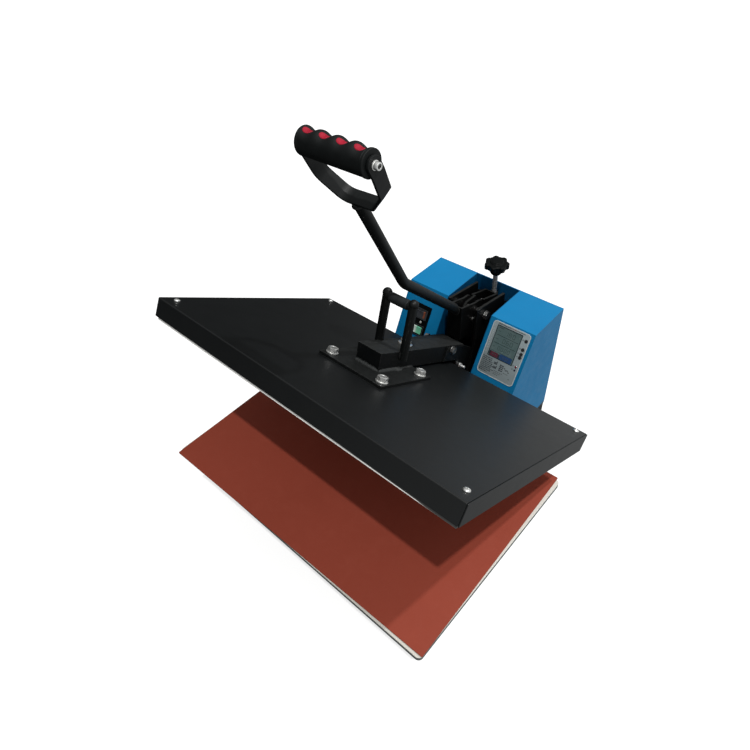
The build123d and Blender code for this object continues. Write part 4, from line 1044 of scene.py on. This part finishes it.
# window: faint rows, figures, a red and a blue field
LZ = 0.7
seg_dark, seg_faint = [], []
SEG = {"0": "abcdef", "1": "bc", "2": "abged", "3": "abgcd", "4": "fgbc", "5": "afgcd", "6": "afgecd", "7": "abc", "8": "abcdefg", "9": "abcdfg"}


def digit(ch, x, y, w, h, t, dst):
    bars = {"a": (x, y + h / 2, w, t), "g": (x, y, w, t), "d": (x, y - h / 2, w, t),
            "f": (x - w / 2, y + h / 4, t, h / 2), "b": (x + w / 2, y + h / 4, t, h / 2),
            "e": (x - w / 2, y - h / 4, t, h / 2), "c": (x + w / 2, y - h / 4, t, h / 2)}
    for s in SEG[ch]:
        cx, cy, bw, bh = bars[s]
        dst.append((cx, cy, bw * 0.86, bh) if bw > bh else (cx, cy, bw, bh * 0.86))


for i, ch in enumerate("180"):
    digit(ch, 93.0 + 8.0 * i, -20.5, 4.6, 8.0, 0.9, seg_faint)
for i, ch in enumerate("060"):
    digit(ch, 93.0 + 8.0 * i, -36.0, 4.6, 8.0, 0.9, seg_faint)
for i, ch in enumerate("0000"):
    digit(ch, 88.0 + 7.0 * i, -52.0, 3.8, 7.0, 0.8, seg_faint)
for k in range(4):
    seg_dark.append((75.5 + 2.6 * k, -14.0, 1.7, 1.8))
for y in (-28.2, -44.0):
    seg_dark.append((97.5, y, 46.0, 0.85))
seg_dark.append((97.5, -60.2, 46.0, 0.5))
seg_faint += [(77.5, -20.5, 5.0, 1.0), (77.5, -36.0, 6.0, 1.0), (77.0, -52.0, 4.0, 1.0)]
print_marks("lcd_figures", seg_faint, "ink_faint", LZ, "lcd_green")
print_marks("lcd_rules", seg_dark, "ink_seg", LZ, "lcd_green")
print_marks("lcd_red_field", [(82.6, -67.0, 17.5, 9.4)], "ink_red", LZ, "lamp_red")
print_marks("lcd_dark_field", [(73.6, -65.8, 3.4, 7.6), (93.2, -67.4, 3.4, 8.0)], "ink_black", LZ)
print_marks("lcd_blue_field", [(108.3, -66.0, 26.0, 10.6)], "ink_blue", LZ)
print_marks("lcd_field_marks", [(80.0, -66.6, 1.4, 2.4), (83.0, -66.6, 1.4, 2.4), (86.0, -66.6, 1.4, 2.4), (102.0, -65.0, 3.0, 1.2), (107.5, -65.0, 3.0, 1.2), (113.0, -65.0, 3.0, 1.2), (107.5, -68.0, 12.0, 0.8)], "ink_soft", LZ + 0.06, "lcd_green")

# lamps: low domed lenses
for nm, x, d, r, z, mat, slot, rep in (("lamp_lens_mains", -93.2, 74.8, 2.6, 2.0, "lamp_white", "lamp_red", ["indicator_lamps"]),
                                       ("lamp_lens_red", 133.3, 70.6, 2.0, 1.2, "lamp_red", "lamp_red", None),
                                       ("lamp_lens_blue", 133.3, 77.2, 2.0, 1.2, "lamp_blue", "lamp_red", None)):
    bm = bmesh.new()
    lathe(bm, [(0.01, z - 3.0), (r * 0.72, z - 3.0), (r * 0.72, z), (r, z), (r, z + 0.35), (r * 0.93, z + 0.8), (r * 0.70, z + 1.2), (r * 0.36, z + 1.45), (0.01, z + 1.5)], 32, T(x, -d, 0))
    out(nm, bm, mat, slot, "base", 40, FACE, replaces=rep)

# switch plate: raised rim lines and a lit edge on the breaker's frame
bm = bmesh.new()
frame_ring(bm, round_rect(-97.5, -57.5, 30.4, 21.2, 1.2), round_rect(-97.5, -57.5, 28.0, 18.8, 0.8), 3.5, 3.95)
frame_ring(bm, round_rect(-95.0, -92.0, 27.2, 22.0, 1.4), round_rect(-95.0, -92.0, 24.8, 19.6, 1.0), 3.5, 3.9)
out("switch_frames", bm, "plastic_dark", "plastic_black", "base", 30, FACE, bevel=0.15)

# main shaft with its washers, nuts and threaded ends
bm = bmesh.new()
lathe(bm, [(0.01, -43.0), (7.2, -43.0), (7.7, -42.4), (7.7, -34.4), (8.0, -34.2), (8.0, 34.2), (7.7, 34.4), (7.7, 42.4), (7.2, 43.0), (0.01, 43.0)], 48, T(0, 333.0, 20.0) @ RY(90))
for sx in (-1, 1):
    m = T(0, 333.0, 20.0) @ RY(90 * sx)
    washer(bm, 15.0, 8.1, 34.0, 35.4, m)
    hexhead(bm, 24.0, 35.4, 41.0, m @ RZ(9), both_ends=True, hole=7.7)
    thread(bm, 8.0, 1.75, 34.4, 42.8, m, depth=0.6, segs=28, lead=0.9)
out("shaft_nuts", bm, "shaft_steel", "zinc_steel", "base", 32, ROW, replaces=["hinge_shaft"])

# ------------------------------------------------------------------ grip: moulded sleeve with finger grooves
G0, G1 = -54.8, 58.7
GROOVES = (-38.3, -10.1, 18.3, 46.6)


def window(deg, mid, half):
    d = (deg - mid + 180.0) % 360.0 - 180.0
    return math.cos(math.radians(90.0 * d / half)) ** 2 if abs(d) < half else 0.0


def smooth(a, b, x):
    t = min(1.0, max(0.0, (x - a) / (b - a)))
    return t * t * (3 - 2 * t)


def sleeve_r(x, deg):
    r = 17.0 + 2.3 * window(deg, 58.0, 100.0) * smooth(G0, G0 + 2.0, x)
    dip = 0.0
    for gx in GROOVES:
        d = abs(x - gx)
        if d < 14.05:
            dip = max(dip, (0.5 + 0.5 * math.cos(math.pi * d / 14.05)) ** 1.1)
    r -= 4.8 * dip * window(deg, 46.0, 84.0)
    r += 0.5 * (smooth(G0 + 1.4, G0 + 2.0, x) - smooth(G0 + 6.0, G0 + 6.6, x)) * (1 - window(deg, 60.0, 100.0))
    f = smooth(G1 - 4.5, G1 - 3.8, x)
    r = r * (1 - f) + 17.5 * f
    for d, rad in ((x - G0, 4.2), (G1 - x, 1.2)):
        if d < rad:
            r -= rad - math.sqrt(max(0.0, rad * rad - (rad - d) ** 2))
    return r


bm = bmesh.new()
xs = []
x = G0
while x < G1 - 1e-6:
    xs.append(x)
    x += 0.25 if (x < G0 + 4.5 or x > G1 - 5.2) else 0.7
xs.append(G1)
loops = [[(x, 8.05 * math.cos(2 * math.pi * i / 112), 8.05 * math.sin(2 * math.pi * i / 112)) for i in range(112)] for x in (G1, G0)]
for x in xs:
    loops.append([(x, sleeve_r(x, 360.0 * i / 112) * math.cos(2 * math.pi * i / 112), sleeve_r(x, 360.0 * i / 112) * math.sin(2 * math.pi * i / 112)) for i in range(112)])
v = rings(bm, loops, wrap=True)
at(bm, v, T(0, 5.5, 280.5))
out("grip_sleeve_moulded", bm, "grip", "grip_rubber", "lever", 55, YK, replaces=["grip_sleeve"])
bm = bmesh.new()
for gx in GROOVES:
    lp = []
    for u, lift in ((1.0, -1.2), (1.0, 0.0), (0.985, 0.25), (0.93, 0.50), (0.80, 0.76), (0.60, 0.98), (0.35, 1.10), (0.10, 1.14)):
        ring = []
        for k in range(44):
            t = 2 * math.pi * k / 44
            x = gx - 2.2 + 7.3 * u * math.cos(t)
            ph = 72.0 + math.degrees(4.9 * u * math.sin(t) / 15.0)
            r = sleeve_r(x, ph) + lift
            ring.append((x, r * math.cos(math.radians(ph)), r * math.sin(math.radians(ph))))
        lp.append(ring)
    v = rings(bm, lp)
    at(bm, v, T(0, 5.5, 280.5))
out("grip_inserts_moulded", bm, "grip_red", "grip_red", "lever", 60, YK, replaces=["grip_inserts"])


# ------------------------------------------------------------------ floor, world, lights
bm = bmesh.new()
for x, y in ((-40, -40), (40, -40), (40, 40), (-40, 40)):
    bm.verts.new((x, y, 0.0))
bm.faces.new(bm.verts)
fme = bpy.data.meshes.new("studio_floor")
bm.to_mesh(fme)
bm.free()
floor = bpy.data.objects.new("studio_floor", fme)
scene.collection.objects.link(floor)
fm = Mat("floor_mat")
fm.color(fm.mix(fm.remap(fm.noise(1.5, 3.0, 0.5), 0.3, 0.7, 0.0, 1.0), (0.34, 0.34, 0.34), (0.36, 0.36, 0.36)))
fm.rough(fm.remap(fm.noise(8.0, 3.0, 0.5), 0.3, 0.7, 0.75, 0.85))
fm.set(Specular_IOR_Level=0.1, Emission_Color=(1, 1, 1, 1), Emission_Strength=0.70)
floor.data.materials.append(fm.m)
floor.visible_glossy = False
floor.visible_diffuse = False

world = bpy.data.worlds.new("studio")
scene.world = world
world.use_nodes = True
wt = world.node_tree
wt.nodes.clear()


def wnode(kind):
    return wt.nodes.new(kind)


def wmath(op, a, b):
    n = wnode("ShaderNodeMath")
    n.operation = op
    for i, v in enumerate((a, b)):
        if isinstance(v, (int, float)):
            n.inputs[i].default_value = v
        else:
            wt.links.new(v, n.inputs[i])
    return n.outputs[0]


def wramp(v, a, b, c, d):
    n = wnode("ShaderNodeMapRange")
    n.interpolation_type = "SMOOTHSTEP"
    for k, x in (("From Min", a), ("From Max", b), ("To Min", c), ("To Max", d)):
        n.inputs[k].default_value = x
    wt.links.new(v, n.inputs["Value"])
    return n.outputs["Result"]


wo = wnode("ShaderNodeOutputWorld")
sep = wnode("ShaderNodeSeparateXYZ")
wt.links.new(wnode("ShaderNodeTexCoord").outputs["Generated"], sep.inputs["Vector"])
side = wmath("ADD", wmath("MULTIPLY", sep.outputs["X"], 0.8), wmath("MULTIPLY", sep.outputs["Y"], 0.5))
low = wramp(sep.outputs["Z"], -1.0, -0.35, 0.34, 1.0)
soft = wmath("ADD", wmath("MULTIPLY", wramp(side, -0.12, 0.50, 0.02, 0.60), low), wramp(sep.outputs["Z"], 0.25, 0.95, 0.0, 0.46))
front = wmath("MULTIPLY", wramp(sep.outputs["X"], -0.80, -0.05, 0.0, 1.0), wramp(sep.outputs["Y"], -0.45, -0.95, 0.0, 0.42))
soft = wmath("ADD", soft, front)
bg = wnode("ShaderNodeBackground")
wt.links.new(soft, bg.inputs["Strength"])
bg.inputs["Color"].default_value = (0.98, 1.0, 1.0, 1.0)
back = wnode("ShaderNodeBackground")
back.inputs["Color"].default_value = (1, 1, 1, 1)
back.inputs["Strength"].default_value = 1.0
pick = wnode("ShaderNodeMixShader")
wt.links.new(wnode("ShaderNodeLightPath").outputs["Is Camera Ray"], pick.inputs[0])
wt.links.new(bg.outputs[0], pick.inputs[1])
wt.links.new(back.outputs[0], pick.inputs[2])
wt.links.new(pick.outputs[0], wo.inputs["Surface"])


def sun(name, to, energy, angle, col=(1, 1, 1)):
    d = bpy.data.lights.new(name, "SUN")
    d.energy = energy
    d.angle = math.radians(angle)
    d.color = col
    o = bpy.data.objects.new(name, d)
    scene.collection.objects.link(o)
    o.rotation_euler = Vector(to).to_track_quat("-Z", "Y").to_euler()
    return o


sun("key", (-0.245, 0.225, -0.943), 1.93, 1.3, (1.0, 0.99, 0.97))
sun("second", (-0.262, -0.42, -0.87), 1.50, 1.8, (0.98, 0.99, 1.0))
